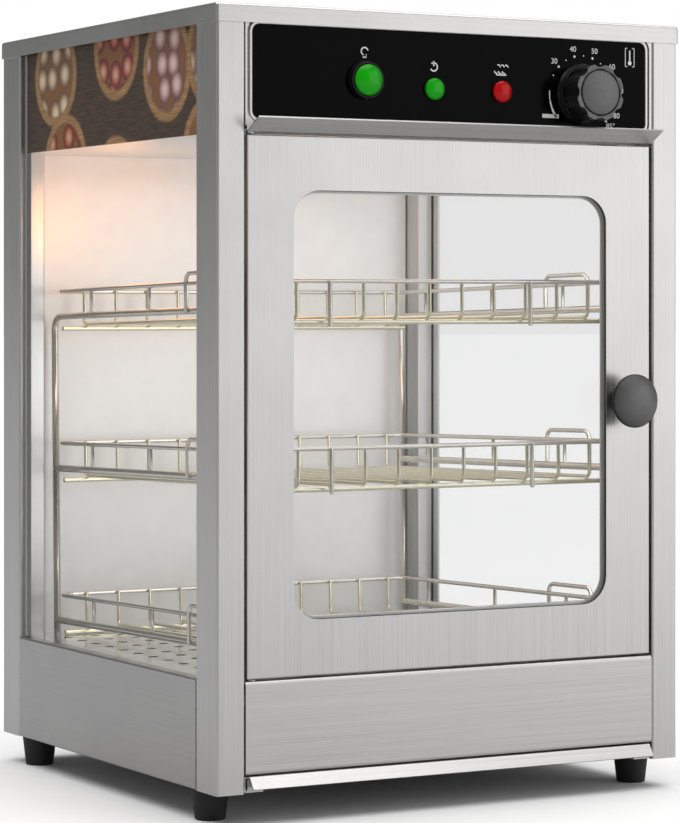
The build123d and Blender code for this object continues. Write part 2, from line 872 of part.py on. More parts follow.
# Signal lamps: green for power, red for heat, over a pair of bodies with ring nuts
lens_back = panel_front - slip_gap
lens_sizes = (signal_spigot_radius, signal_spigot, lens_back, signal_radius, signal_rim, signal_reach)
save(domed(lamp_xs[0], signal_height, *lens_sizes), "power_lamp_lens")
save(domed(lamp_xs[1], signal_height, *lens_sizes), "heat_lamp_lens")

signal_bore = signal_spigot_radius + 2 * slip_gap
signal_nut_radius = 7.5
signal_body_outline = [
    (signal_bore, panel_front + slip_gap),
    (signal_body_radius, panel_front + slip_gap),
    (signal_body_radius, plate_back + slip_gap),
    (signal_nut_radius, plate_back + slip_gap),
    (signal_nut_radius, plate_back + switch_nut),
    (signal_body_radius, plate_back + switch_nut),
    (signal_body_radius, signal_body_length),
    (0, signal_body_length),
    (0, signal_spigot + seat_gap),
    (signal_bore, signal_spigot + seat_gap),
]
signal_body_solids = [turned(x, signal_height, signal_body_outline) for x in lamp_xs]
with BuildPart() as signal_lamp_bodies:
    add(signal_body_solids)
save(signal_lamp_bodies.part, "signal_lamp_bodies")

# Dial base: the stepped ring on the panel round the knob
dial_base_outline = [
    (dial_bore_radius, panel_front - slip_gap),
    (dial_base_radius, panel_front - slip_gap),
    (dial_base_radius, -dial_base_reach / 3),
    (dial_step_radius, -dial_base_reach / 3 - 0.4),
    (dial_step_radius, -dial_base_reach + 0.4),
    (dial_step_radius - 0.4, -dial_base_reach),
    (dial_bore_radius, -dial_base_reach),
]
save(turned(dial_x, dial_height, dial_base_outline), "dial_base")

# Thermostat knob: eight soft lobes, a shallow dome inside a groove, and an index groove
dial_back = dial_base_reach + seat_gap
dial_depth = dial_face - dial_back
dial_z = z_at(dial_height)
scallop_distance = dial_knob_waist + dial_scallop_radius
with BuildPart() as thermostat_knob:
    with BuildSketch(facing_front(-dial_back)) as lobes:
        with Locations((dial_x, dial_z)):
            Circle(dial_knob_radius)
            with PolarLocations(scallop_distance, dial_lobes):
                Circle(dial_scallop_radius, mode=Mode.SUBTRACT)
        fillet(lobes.vertices(), radius=lobe_round)
    extrude(amount=dial_depth)
    fillet(thermostat_knob.faces().sort_by(Axis.Y)[0].edges(), radius=0.8)
    with BuildSketch(facing_front(-dial_back)):
        with Locations((dial_x, dial_z)):
            Circle(dial_cavity_radius)
            Circle(dial_hub_radius, mode=Mode.SUBTRACT)
    extrude(amount=dial_depth * 0.6, mode=Mode.SUBTRACT)
    with BuildSketch(facing_front(-dial_back)):
        with Locations((dial_x, dial_z)):
            Circle(shaft_radius + slip_gap)
    extrude(amount=shaft_front + 2 * slip_gap - dial_back, mode=Mode.SUBTRACT)
    with BuildSketch(facing_front(-dial_face)):
        with Locations((dial_x, dial_z)):
            Circle(dial_groove_radius + dial_groove / 2)
            Circle(dial_groove_radius - dial_groove / 2, mode=Mode.SUBTRACT)
    extrude(amount=-2 * dial_groove, mode=Mode.SUBTRACT)
    with BuildSketch(facing_front(-dial_face)):
        with Locations((dial_x, dial_z)):
            index_radius = (dial_knob_radius + dial_groove_radius) / 2
            with PolarLocations(index_radius, 1, start_angle=dial_pointer_angle):
                Rectangle(dial_index_length, dial_index_width)
    extrude(amount=-dial_groove, mode=Mode.SUBTRACT)
    with BuildSketch(Plane.XY.offset(dial_z)):
        with BuildLine():
            dome_tip = (dial_x, y_at(-front_reach))
            dome_rim = (dial_x + dial_dome_radius, y_at(-dial_face))
            dome_seat = y_at(-dial_face + dial_groove)
            TangentArc(dome_tip, dome_rim, tangent=(1, 0))
            Polyline(dome_rim, (dial_x + dial_dome_radius, dome_seat), (dial_x, dome_seat), dome_tip)
        make_face()
    revolve(axis=Axis((dial_x, 0, dial_z), (0, 1, 0)))
save(thermostat_knob.part, "thermostat_knob")

# Thermostat shaft, running in the thermostat's boss
with BuildPart() as thermostat_shaft:
    with BuildSketch(facing_front(shaft_back)):
        with Locations((dial_x, dial_z)):
            Circle(shaft_radius)
    extrude(amount=shaft_back + shaft_front)
save(thermostat_shaft.part, "thermostat_shaft")

# Thermostat: a can on a bracket behind the control plate, its boss through the panel
bracket_front = plate_back + slip_gap
bracket = 1.2
can_front = bracket_front + bracket
with BuildPart() as thermostat:
    with BuildSketch(facing_front(can_front)):
        with Locations((dial_x, dial_z)):
            RectangleRounded(thermostat_screw_spacing + 12, thermostat_width / 2, 4)
            with GridLocations(thermostat_screw_spacing, 1, 2, 1):
                Circle(screw_radius + slip_gap, mode=Mode.SUBTRACT)
    extrude(amount=bracket)
    with BuildSketch(facing_front(can_front + thermostat_depth)):
        with Locations((dial_x, dial_z)):
            Rectangle(thermostat_width, thermostat_height)
    extrude(amount=thermostat_depth)
    fillet(thermostat.faces().sort_by(Axis.Y)[-1].edges(), radius=3)
    with BuildSketch(facing_front(can_front)):
        with Locations((dial_x, dial_z)):
            Circle(boss_radius)
    extrude(amount=can_front)
    with BuildSketch(facing_front(shaft_back + seat_gap)):
        with Locations((dial_x, dial_z)):
            Circle(shaft_radius + slip_gap)
    extrude(amount=shaft_back + seat_gap, mode=Mode.SUBTRACT)
    with BuildSketch(facing_front(can_front + rear_shank)):
        with Locations((dial_x, dial_z)):
            with GridLocations(thermostat_screw_spacing, 1, 2, 1):
                Circle(screw_radius + slip_gap)
    extrude(amount=rear_shank, mode=Mode.SUBTRACT)
save(thermostat.part, "thermostat")

# Capillary and sensing bulb: from the thermostat through the ceiling, along under it
can_back = y_at(can_front + thermostat_depth)
capillary_z = z_at(ceiling_height + 4 * ceiling_skirt)
bulb_z = z_at(ceiling_height - bulb_drop)
capillary_start = 30.0
capillary_shift = 80.0
capillary_foot = 20.0
capillary_points = [
    (dial_x, can_back + slip_gap, capillary_z),
    (dial_x, can_back + capillary_start, capillary_z),
    (bulb_x, can_back + capillary_shift, capillary_z),
    (bulb_x, y_at(bulb_y), capillary_z),
    (bulb_x, y_at(bulb_y), bulb_z),
    (bulb_x - capillary_foot, y_at(bulb_y), bulb_z),
]
capillary_tube = wire(capillary_points, capillary_radius, 6.0)
bulb_plane = Plane(origin=capillary_points[-1], z_dir=(-1, 0, 0))
with BuildPart() as capillary:
    add(capillary_tube)
    with BuildSketch(bulb_plane):
        Circle(bulb_radius)
    extrude(amount=bulb_length)
    fillet(capillary.edges().sort_by(Axis.X)[0], radius=bulb_radius / 2)
save(capillary.part, "capillary")

# Sensor clips: two straps that hang the bulb from the ceiling
clip_ring = bulb_radius + 1.2
clip_width = 6.0
clip_top = z_at(ceiling_height) - slip_gap
clip_xs = [bulb_x - 20 - bulb_length * share for share in (0.2, 0.8)]
with BuildPart() as sensor_clips:
    with BuildSketch(*[Plane.YZ.offset(x - clip_width / 2) for x in clip_xs]):
        with Locations((y_at(bulb_y), bulb_z)):
            Circle(clip_ring)
        with Locations((y_at(bulb_y) + clip_ring - sheet / 2, (bulb_z + clip_top) / 2)):
            Rectangle(sheet, clip_top - bulb_z)
        with Locations((y_at(bulb_y) + clip_ring + 3, clip_top - sheet / 2)):
            Rectangle(8, sheet)
        with Locations((y_at(bulb_y), bulb_z)):
            Circle(bulb_radius + slip_gap, mode=Mode.SUBTRACT)
    extrude(amount=clip_width)
save(sensor_clips.part, "sensor_clips")

# Heating element: one bent tube under the floor, its ends through the back liner
element_z = z_at(element_height)
half_path = [
    (terminal_x, y_at(terminal_y)),
    (terminal_x, y_at(element_back)),
    (element_half_width, y_at(element_back)),
    (element_half_width, y_at(element_front)),
]
element_points = half_path + [(-x, y) for x, y in reversed(half_path)]
element_plane = Plane.XY.offset(element_z)
element_tube = wire(element_points, element_radius, element_bend, element_plane)
collar_plane = facing_front(back_inner - seat_gap)
with BuildPart() as heating_element:
    add(element_tube)
    with BuildSketch(collar_plane):
        with Locations((-terminal_x, element_z), (terminal_x, element_z)):
            RegularPolygon(2 * element_radius, 6)
    extrude(amount=4)
save(heating_element.part, "heating_element")

# Heater hanger: a strap under the element, hung from the floor plate
strap_top = element_z - element_radius - seat_gap
strap_seat = z_at(floor_top - sheet) - seat_gap
hanger_path = [
    (-hanger_half_width - 15, strap_seat),
    (-hanger_half_width, strap_seat),
    (-hanger_half_width, strap_top),
    (hanger_half_width, strap_top),
    (hanger_half_width, strap_seat),
    (hanger_half_width + 15, strap_seat),
]
with BuildPart() as heater_hanger:
    hanger_start = facing_front(hanger_y + hanger_width)
    section = folded(hanger_start, hanger_path, sheet, sheet_bend, Side.RIGHT)
    extrude(section, amount=hanger_width)
save(heater_hanger.part, "heater_hanger")


def upright(outline):
    """A piece of the lamp turned about its upright axis, from radius and height."""
    with BuildPart() as body:
        with BuildSketch(Plane.XZ.offset(-y_at(light_y))):
            with BuildLine():
                Polyline(*[(light_x + radius, z_at(h)) for radius, h in outline], close=True)
            make_face()
        revolve(axis=Axis((light_x, y_at(light_y), 0), (0, 0, 1)))
    return body.part


# Lamp housing: a cup through the ceiling with a flange under it
ring_top = ceiling_height - slip_gap
ring_bottom = ring_top - 2 * sheet
cup_top = ceiling_height + light_cup_height
cup_inner = light_cup_radius - sheet
socket_hole = socket_radius + seat_gap
housing_outline = [
    (cup_inner, ring_bottom),
    (light_ring_radius, ring_bottom),
    (light_ring_radius, ring_top),
    (light_cup_radius, ring_top),
    (light_cup_radius, cup_top),
    (socket_hole, cup_top),
    (socket_hole, cup_top - sheet),
    (cup_inner, cup_top - sheet),
]
save(upright(housing_outline), "lamp_housing")

# Lamp socket: a ceramic holder that hangs in the top of the cup
bulb_base_radius = 6.8
socket_bottom = cup_top - 14
socket_top = cup_top + 20
base_top = cup_top + 4
socket_outline = [
    (bulb_base_radius + 2 * slip_gap, socket_bottom),
    (socket_radius, socket_bottom),
    (socket_radius, cup_top + slip_gap),
    (socket_radius + 4, cup_top + slip_gap),
    (socket_radius + 4, cup_top + 4),
    (socket_radius, cup_top + 4),
    (socket_radius, socket_top),
    (0, socket_top),
    (0, base_top + seat_gap),
    (bulb_base_radius + 2 * slip_gap, base_top + seat_gap),
]
save(upright(socket_outline), "lamp_socket")

# Lamp bulb: screw base, neck and globe
globe_tip = ceiling_height - light_drop + light_glass + 5
globe_centre = globe_tip + globe_radius
neck_top = socket_bottom - 2
with BuildPart() as lamp_bulb:
    with BuildSketch(Plane.XZ.offset(-y_at(light_y))):
        with BuildLine():
            globe_foot = (light_x, z_at(globe_tip))
            globe_side = (light_x + globe_radius, z_at(globe_centre))
            neck = (light_x + bulb_base_radius, z_at(neck_top))
            base_rim = (light_x + bulb_base_radius, z_at(base_top))
            TangentArc(globe_foot, globe_side, tangent=(1, 0))
            Spline(globe_side, neck, tangents=((0, 1), (0, 1)))
            Polyline(neck, base_rim, (light_x, z_at(base_top)), globe_foot)
        make_face()
    revolve(axis=Axis((light_x, y_at(light_y), 0), (0, 0, 1)))
save(lamp_bulb.part, "lamp_bulb")

# Lamp cover: a glass dome with a neck inside the cup
dome_top = ring_bottom - seat_gap
dome_bottom = ceiling_height - light_drop
dome_side = dome_bottom + light_dome_radius * 0.55
neck_end = ceiling_height + 6
with BuildPart() as lamp_cover:
    with BuildSketch(Plane.XZ.offset(-y_at(light_y))):
        with BuildLine():
            outer_side = (light_x + light_dome_radius, z_at(dome_side))
            outer_tip = (light_x, z_at(dome_bottom))
            inner_tip = (light_x, z_at(dome_bottom + light_glass))
            inner_side = (light_x + light_dome_radius - light_glass, z_at(dome_side))
            TangentArc(outer_tip, outer_side, tangent=(1, 0))
            Line(outer_tip, inner_tip)
            TangentArc(inner_tip, inner_side, tangent=(1, 0))
            Polyline(
                inner_side,
                (light_x + light_neck_radius - light_glass, z_at(dome_top - light_glass)),
                (light_x + light_neck_radius - light_glass, z_at(neck_end)),
                (light_x + light_neck_radius, z_at(neck_end)),
                (light_x + light_neck_radius, z_at(dome_top)),
                (light_x + light_dome_radius, z_at(dome_top)),
                outer_side,
            )
        make_face()
    revolve(axis=Axis((light_x, y_at(light_y), 0), (0, 0, 1)))
save(lamp_cover.part, "lamp_cover")

# Terminal block: a ceramic block on the ceiling with wire ways through it
block_x = 60.0
block_back_space = 44.0
block_y = depth - block_back_space
block_length = 48.0
block_width = 16.0
block_height = 16.0
block_ways = 4
block_pitch = 11.0
way_radius = 2.0
block_floor = z_at(ceiling_height + sheet) + slip_gap
way_z = block_floor + block_height / 2
with BuildPart() as terminal_block:
    with BuildSketch(Plane.XY.offset(block_floor)):
        with Locations((block_x, y_at(block_y))):
            RectangleRounded(block_length, block_width, 2)
    extrude(amount=block_height)
    with BuildSketch(facing_front(block_y)):
        with Locations((block_x, way_z)):
            with GridLocations(block_pitch, 1, block_ways, 1):
                Circle(way_radius + slip_gap)
    extrude(amount=block_width, both=True, mode=Mode.SUBTRACT)
save(terminal_block.part, "terminal_block")

# Wiring: leads from the switch, the heat lamp, the thermostat, the cabinet lamp and the gland
# to the block, and one from the block down behind the back liner to the heating element
lead = 1.6
lead_start = 25.0
lead_ends = (90.0, 70.0, 45.0, 60.0)
past_lamp_y = y_at(light_y - 45)
way_xs = [block_x + block_pitch * (place - 1.5) for place in range(block_ways)]
way_front = y_at(block_y - block_width / 2 + 3)
way_back = y_at(block_y + block_width / 2 - 3)
switch_rear = y_at(switch_body_length + slip_gap)
signal_rear = y_at(signal_body_length + slip_gap)
duct_y = y_at((back_inner + sheet + cover_inner - sheet) / 2)
past_lamp_x = light_x + light_cup_radius + 8
lead_routes = [
    [
        (switch_x, switch_rear, z_at(switch_height)),
        (switch_x, switch_rear + lead_start, z_at(switch_height)),
        (past_lamp_x, past_lamp_y, way_z),
        (way_xs[0], way_front - lead_ends[0], way_z),
        (way_xs[0], way_front, way_z),
    ],
    [
        (lamp_xs[1], signal_rear, z_at(signal_height)),
        (lamp_xs[1], signal_rear + lead_start, z_at(signal_height)),
        (way_xs[1], way_front - lead_ends[1], way_z),
        (way_xs[1], way_front, way_z),
    ],
    [
        (light_x, y_at(light_y), z_at(socket_top) + slip_gap),
        (light_x, y_at(light_y), z_at(socket_top) + 8),
        (way_xs[2], way_front - lead_ends[2], way_z),
        (way_xs[2], way_front, way_z),
    ],
    [
        (dial_x, can_back + slip_gap, z_at(dial_height)),
        (dial_x, can_back + 30, z_at(dial_height)),
        (way_xs[3], way_front - lead_ends[3], way_z),
        (way_xs[3], way_front, way_z),
    ],
    [
        (inlet_x, duct_y + 3, z_at(inlet_height)),
        (inlet_x, y_at(back_inner - 14), z_at(inlet_height)),
        (way_xs[3] + 6, y_at(back_inner - 14), way_z),
        (way_xs[3], way_back + 10, way_z),
        (way_xs[3], way_back, way_z),
    ],
    [
        (way_xs[1], way_back, way_z),
        (way_xs[1], way_back + 12, way_z),
        (loom_x, duct_y - 12, z_at(loom_height)),
        (loom_x, duct_y, z_at(loom_height)),
        (loom_x, duct_y, element_z + 40),
        (terminal_x, duct_y, element_z + 20),
        (terminal_x, duct_y, element_z + element_radius + slip_gap),
    ],
]
lead_solids = [wire(route, lead, 3.5) for route in lead_routes]
with BuildPart() as wiring:
    add(lead_solids)
save(wiring.part, "wiring")

# Feet and their screws
foot_places = [(x, y) for x in (-foot_x, foot_x) for y in foot_y]
with BuildPart() as feet:
    stood_up = (Align.CENTER, Align.CENTER, Align.MIN)
    with Locations(*[(x, y, 0) for x, y in foot_places]):
        Cone(foot_bottom_radius, foot_top_radius, foot_height, align=stood_up)
    fillet(feet.faces().filter_by(Axis.Z).group_by(Axis.Z)[0].edges(), radius=foot_round)
    with Locations(*[(x, y, 0) for x, y in foot_places]):
        Cylinder(foot_recess_radius, 2 * foot_recess, mode=Mode.SUBTRACT)
        Cylinder(foot_screw_radius + seat_gap, 3 * foot_height, mode=Mode.SUBTRACT)
save(feet.part, "feet")

foot_head = 3.0
foot_nut = 4.0
flange_top = z_at(sheet) + slip_gap
with BuildPart() as foot_screws:
    with BuildSketch(Plane.XY.offset(foot_recess - slip_gap)):
        with Locations(*foot_places):
            Circle(foot_recess_radius - 2 * seat_gap)
    extrude(amount=-foot_head)
    with BuildSketch(Plane.XY.offset(foot_recess - foot_head)):
        with Locations(*foot_places):
            Circle(foot_screw_radius)
    extrude(amount=flange_top + foot_nut + sheet - foot_recess + foot_head)
    with BuildSketch(Plane.XY.offset(flange_top)):
        with Locations(*foot_places):
            RegularPolygon(foot_recess_radius - sheet, 6)
    extrude(amount=foot_nut)
save(foot_screws.part, "foot_screws")


def hinge(plate_z, collar_z, collar_end, pin_z, pin_end):
    """A hinge bracket: a plate on the post, a collar and the pin the door turns on."""
    bracket_y = y_at(hinge_plate_front + hinge_plate_depth / 2)
    bracket_x = -inner_x + seat_gap + hinge_plate_length / 2
    with BuildPart() as bracket_part:
        with BuildSketch(Plane.XY.offset(plate_z)):
            with Locations((bracket_x, bracket_y)):
                Rectangle(hinge_plate_length, hinge_plate_depth)
        extrude(amount=hinge_plate)
        fillet(bracket_part.edges().filter_by(Axis.Z).group_by(Axis.X)[-1], radius=3)
        with BuildSketch(Plane.XY.offset(collar_z)):
            with Locations((hinge_x, hinge_y)):
                Circle(hinge_collar_radius)
        extrude(amount=collar_end - collar_z)
        with BuildSketch(Plane.XY.offset(pin_z)):
            with Locations((hinge_x, hinge_y)):
                Circle(hinge_pin_radius)
        extrude(amount=pin_end - pin_z)
    return bracket_part.part


# Hinges: pins that enter the door's top and bottom folds
upper_plate_z = z_at(fascia_bottom) + 2 * seat_gap
door_top_z = z_at(door_top)
door_bottom_z = z_at(door_bottom)
upper_collar_z = door_top_z + seat_gap
upper_pin_z = door_top_z - hinge_pin_entry
upper_bracket = hinge(
    upper_plate_z, upper_collar_z, upper_plate_z, upper_pin_z, upper_collar_z
)

lower_plate_z = z_at(lower_panel_top - sheet) - slip_gap - hinge_plate
lower_collar_z = z_at(lower_panel_top) + slip_gap
lower_collar_end = door_bottom_z - seat_gap
lower_pin_end = door_bottom_z + hinge_pin_entry
lower_bracket = hinge(
    lower_plate_z, lower_collar_z, lower_collar_end, lower_plate_z, lower_pin_end
)
with BuildPart() as hinge_brackets:
    add([upper_bracket, lower_bracket])
save(hinge_brackets.part, "hinge_brackets")

# Magnet catch under the ceiling, behind the door's far top corner
door_back = door_recess + door_depth
catch_front = door_back + 2.2
catch_top = z_at(ceiling_height) - seat_gap
with BuildPart() as magnet_catch:
    with BuildSketch(Plane.XY.offset(catch_top)):
        with Locations((catch_x, y_at(catch_front + catch_depth / 2))):
            RectangleRounded(catch_width, catch_depth, 1.5)
    extrude(amount=-catch_height)
    with BuildSketch(facing_front(catch_front)):
        with Locations((catch_x, catch_top - catch_height / 2)):
            with GridLocations(catch_width / 2, 1, 2, 1):
                Rectangle(1.6, catch_height * 0.7)
    extrude(amount=seat_gap)
save(magnet_catch.part, "magnet_catch")


def window_face(grow, mode=Mode.ADD):
    """The door window's rounded outline, grown or shrunk by the same amount all round."""
    face_width = window_width + 2 * grow
    face_height = window_height + 2 * grow
    with Locations((window_x, z_at(window_centre))):
        RectangleRounded(face_width, face_height, window_radius + grow, mode=mode)


# Door frame: a shallow tray with the window cut out and holes for the hinge pins and the knob
door_height = door_top - door_bottom
door_centre = z_at((door_top + door_bottom) / 2)
knob_place = (knob_x, z_at(knob_height))
sheet_back = door_recess + sheet
with BuildPart() as door_frame:
    with BuildSketch(facing_front(door_back)):
        with Locations((0, door_centre)):
            Rectangle(2 * door_half_width, door_height)
    extrude(amount=door_depth)
    fillet(door_frame.faces().sort_by(Axis.Y)[0].edges(), radius=door_round)
    with BuildSketch(facing_front(door_back)):
        with Locations((0, door_centre)):
            Rectangle(2 * (door_half_width - sheet), door_height - 2 * sheet)
    extrude(amount=door_depth - sheet, mode=Mode.SUBTRACT)
    with BuildSketch(facing_front(door_back)):
        window_face(0)
        with Locations(knob_place):
            Circle(knob_screw_radius + seat_gap)
    extrude(amount=door_depth, mode=Mode.SUBTRACT)
    with BuildSketch(Plane.XY.offset(door_bottom_z)):
        with Locations((hinge_x, hinge_y)):
            Circle(hinge_pin_radius + slip_gap)
    extrude(amount=door_height, mode=Mode.SUBTRACT)
save(door_frame.part, "door_frame")

# Door seal, glass and inner frame, stacked behind the front sheet
seal_front = sheet_back + slip_gap
seal_back = seal_front + door_seal_thickness
with BuildPart() as door_seal:
    with BuildSketch(facing_front(seal_back)):
        window_face(door_seal_width)
        window_face(-seat_gap, Mode.SUBTRACT)
    extrude(amount=door_seal_thickness)
save(door_seal.part, "door_seal")

glass_front = seal_back + slip_gap
glass_back = glass_front + door_glass_thickness
with BuildPart() as door_glass:
    with BuildSketch(facing_front(glass_back)):
        window_face(door_glass_overlap)
    extrude(amount=door_glass_thickness)
save(door_glass.part, "door_glass")

frame_front = glass_back + slip_gap
frame_back = frame_front + inner_frame_depth
inner_half = door_half_width - sheet - seat_gap
inner_height = door_height - 2 * sheet - 2 * seat_gap
with BuildPart() as door_inner_frame:
    with BuildSketch(facing_front(frame_back)):
        with Locations((0, door_centre)):
            Rectangle(2 * inner_half, inner_height)
        corner_x = -inner_half + hinge_notch / 2
        with Locations((corner_x, door_centre)):
            with GridLocations(1, inner_height - hinge_notch, 1, 2):
                Rectangle(hinge_notch, hinge_notch, mode=Mode.SUBTRACT)
    extrude(amount=inner_frame_depth)
    with BuildSketch(facing_front(frame_back)):
        with Locations((0, door_centre)):
            Rectangle(2 * (inner_half - inner_frame_sheet), inner_height - 2 * inner_frame_sheet)
        with Locations((corner_x, door_centre)):
            notch = hinge_notch + 2 * inner_frame_sheet
            with GridLocations(1, inner_height - hinge_notch, 1, 2):
                Rectangle(notch, notch, mode=Mode.SUBTRACT)
    extrude(amount=inner_frame_depth - inner_frame_sheet, mode=Mode.SUBTRACT)
    with BuildSketch(facing_front(frame_back)):
        window_face(-inner_frame_step)
        with Locations(knob_place):
            Circle(knob_screw_radius + seat_gap)
    extrude(amount=inner_frame_depth, mode=Mode.SUBTRACT)
save(door_inner_frame.part, "door_inner_frame")

# Door knob: base, waist and a thick domed head, bored for its screw
knob_screw_depth = 12.0
knob_z = z_at(knob_height)
knob_back = door_recess - slip_gap
with BuildPart() as door_knob:
    with BuildSketch(Plane.XY.offset(knob_z)):
        with BuildLine():
            bore = knob_screw_radius + slip_gap
            base = (knob_x + knob_base_radius, y_at(knob_back))
            base_top_point = (knob_x + knob_base_radius, y_at(-sheet))
            waist = (knob_x + knob_waist_radius, y_at(-knob_rim_back / 2))
            head = (knob_x + knob_radius - 1.5, y_at(-knob_rim_back))
            rim_back = (knob_x + knob_radius, y_at(-knob_rim_back - 1))
            rim_front = (knob_x + knob_radius, y_at(-knob_rim_front))
            knob_tip = (knob_x, y_at(-knob_reach))
            Polyline(
                knob_tip,
                (knob_x, y_at(-knob_screw_depth)),
                (knob_x + bore, y_at(-knob_screw_depth)),
                (knob_x + bore, y_at(knob_back)),
                base,
                base_top_point,
            )
            Spline(base_top_point, waist, head, tangents=((-0.6, -0.8), (1, -0.35)))
            Polyline(head, rim_back, rim_front)
            TangentArc(knob_tip, rim_front, tangent=(1, 0))
        make_face()
    revolve(axis=Axis((knob_x, 0, knob_z), (0, 1, 0)))
save(door_knob.part, "door_knob")

knob_screw_head = 2.2
with BuildPart() as knob_screw:
    screw_seat = frame_front + inner_frame_sheet + slip_gap
    with BuildSketch(facing_front(screw_seat + knob_screw_head)):
        with Locations(knob_place):
            Circle(2 * knob_screw_radius)
    extrude(amount=knob_screw_head)
    fillet(knob_screw.faces().sort_by(Axis.Y)[-1].edges(), radius=knob_screw_head / 2)
    with BuildSketch(facing_front(screw_seat)):
        with Locations(knob_place):
            Circle(knob_screw_radius)
    extrude(amount=screw_seat + knob_screw_depth - seat_gap)
save(knob_screw.part, "knob_screw")

# Strike plate: a cranked strip on the inner frame that meets the magnets
strike_seat = frame_front + inner_frame_sheet + slip_gap
strike_back = catch_front - seat_gap - strike_gap - strike_sheet
strike_top = catch_top - z_at(0) - 4 * sheet
strike_path = [
    (y_at(strike_seat), z_at(strike_top - 2 * catch_height)),
    (y_at(strike_seat), z_at(strike_top - catch_height)),
    (y_at(strike_back), z_at(strike_top - catch_height)),
    (y_at(strike_back), z_at(strike_top)),
]
with BuildPart() as strike_plate:
    strike_start = Plane.YZ.offset(catch_x - catch_width / 2)
    section = folded(strike_start, strike_path, strike_sheet, 1.5 * strike_sheet, Side.RIGHT)
    extrude(section, amount=catch_width)
save(strike_plate.part, "strike_plate")


def rack_side(side, handle_place):
    """One side of the rack, upright: a post bent into the top bar, two bars, three handles."""
    x = side * rack_half_width
    handle_x = x + side * (frame_wire + rail_wire - weld)
    upright_y = rail_wire + frame_wire - weld
    bars = [cross_wire + frame_above_cross + level * tier_pitch for level in range(len(tiers))]
    top_bar = bars[-1]
    frame_plane = Plane.YZ.offset(x)
    frame_path = [(upright_y, 0), (upright_y, top_bar), (-side_bar_length, top_bar)]
    pieces = [wire(frame_path, frame_wire, upright_bend, frame_plane)]
    for bar in bars[:-1]:
        bar_path = [(upright_y, bar), (-side_bar_length, bar)]
        pieces.append(wire(bar_path, frame_wire, plane=frame_plane))
    for bar in bars:
        handle_top = bar - frame_above_cross + rail_above_cross + handle_rise
        handle_start = -handle_place
        handle_end = -handle_place - handle_length
        handle = [
            (handle_start, bar - frame_wire / 2),
            (handle_start, handle_top),
            (handle_end, handle_top),
            (handle_end, bar - frame_wire / 2),
        ]
        pieces.append(wire(handle, rail_wire, handle_bend, Plane.YZ.offset(handle_x)))
    return pieces


def corner_bend(centre, start, plane):
    """A quarter bend of rail wire round this centre, from this angle on."""
    with BuildLine(plane) as route:
        CenterArc(centre, rack_corner, start, 90)
    with BuildPart() as bend:
        with BuildSketch(Plane(origin=route.line @ 0, z_dir=route.line % 0)):
            Circle(rail_wire)
        sweep(path=route.line)
    return bend.part


def rack_rim(level):
    """The rim of one tier: four wires and four bends, with the side wires and front tabs."""
    cross = cross_wire + level * tier_pitch
    rail = cross + rail_above_cross
    bar_top = cross + frame_above_cross + frame_wire + slip_gap
    half = rack_half_width
    rail_plane = Plane.XY.offset(rail)
    corner_x = half - rack_corner
    rear_y = -rack_corner
    end_y = rack_corner - rack_length
    pieces = [
        corner_bend((corner_x, rear_y), 0, rail_plane),
        corner_bend((-corner_x, rear_y), 90, rail_plane),
        corner_bend((-corner_x, end_y), 180, rail_plane),
        corner_bend((corner_x, end_y), 270, rail_plane),
    ]
    rail_end = corner_x - joint_gap
    for y in (0, -rack_length):
        pieces.append(wire([(-rail_end, y), (rail_end, y)], rail_wire, plane=rail_plane))
    for x in (-half, half):
        side_rail = [(x, rear_y - joint_gap), (x, end_y + joint_gap)]
        pieces.append(wire(side_rail, rail_wire, plane=rail_plane))
    for side in (-1, 1):
        for place in side_wire_places:
            y = -place if side < 0 else place - rack_length
            post_plane = Plane.YZ.offset(side * half)
            pieces.append(wire([(y, bar_top), (y, rail)], floor_wire, plane=post_plane))
    tab_y = -rack_length - rail_wire - tab_wire + weld
    for x in (-tab_x, tab_x):
        tab_path = [(tab_y, cross - tab_drop), (tab_y, rail)]
        pieces.append(wire(tab_path, tab_wire, plane=Plane.YZ.offset(x)))
    return pieces


def rack_floor(level):
    """The floor of one tier: wires turned up inside the rim, over two cross wires."""
    cross = cross_wire + level * tier_pitch
    wire_end = cross + rail_above_cross + floor_wire_top
    floor = cross + cross_wire + floor_wire + joint_gap
    cross_end = rack_half_width - cross_end_gap
    cross_plane = Plane.XY.offset(cross)
    pieces = []
    for y in (-cross_inset, cross_inset - rack_length):
        pieces.append(wire([(-cross_end, y), (cross_end, y)], cross_wire, plane=cross_plane))
    turned_up = rail_wire + floor_wire + joint_gap
    for place in range(floor_wires):
        x = floor_shift + (place - (floor_wires - 1) / 2) * floor_pitch
        path = [
            (-turned_up, wire_end),
            (-turned_up, floor),
            (turned_up - rack_length, floor),
            (turned_up - rack_length, wire_end),
        ]
        pieces.append(wire(path, floor_wire, floor_bend, Plane.YZ.offset(x)))
    return pieces


# Wire rack: two side frames, three rims and three floors, lifted out as one
left_frame_pieces = rack_side(-1, handle_left)
with BuildPart() as rack_side_left:
    with Locations(rack_plane.location):
        add(left_frame_pieces)
save(rack_side_left.part, "rack_side_left")

right_frame_pieces = rack_side(1, handle_right)
with BuildPart() as rack_side_right:
    with Locations(rack_plane.location):
        add(right_frame_pieces)
save(rack_side_right.part, "rack_side_right")

rim_pieces = []
for level in range(len(tiers)):
    rim_pieces += rack_rim(level)
with BuildPart() as rack_rims:
    with Locations(rack_plane.location):
        add(rim_pieces)
save(rack_rims.part, "rack_rims")

for level, tier in enumerate(tiers):
    floor_pieces = rack_floor(level)
    with BuildPart() as rack_floor_tier:
        with Locations(rack_plane.location):
            add(floor_pieces)
    save(rack_floor_tier.part, f"rack_floor_{tier}")
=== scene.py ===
import json
from math import cos, radians, sin

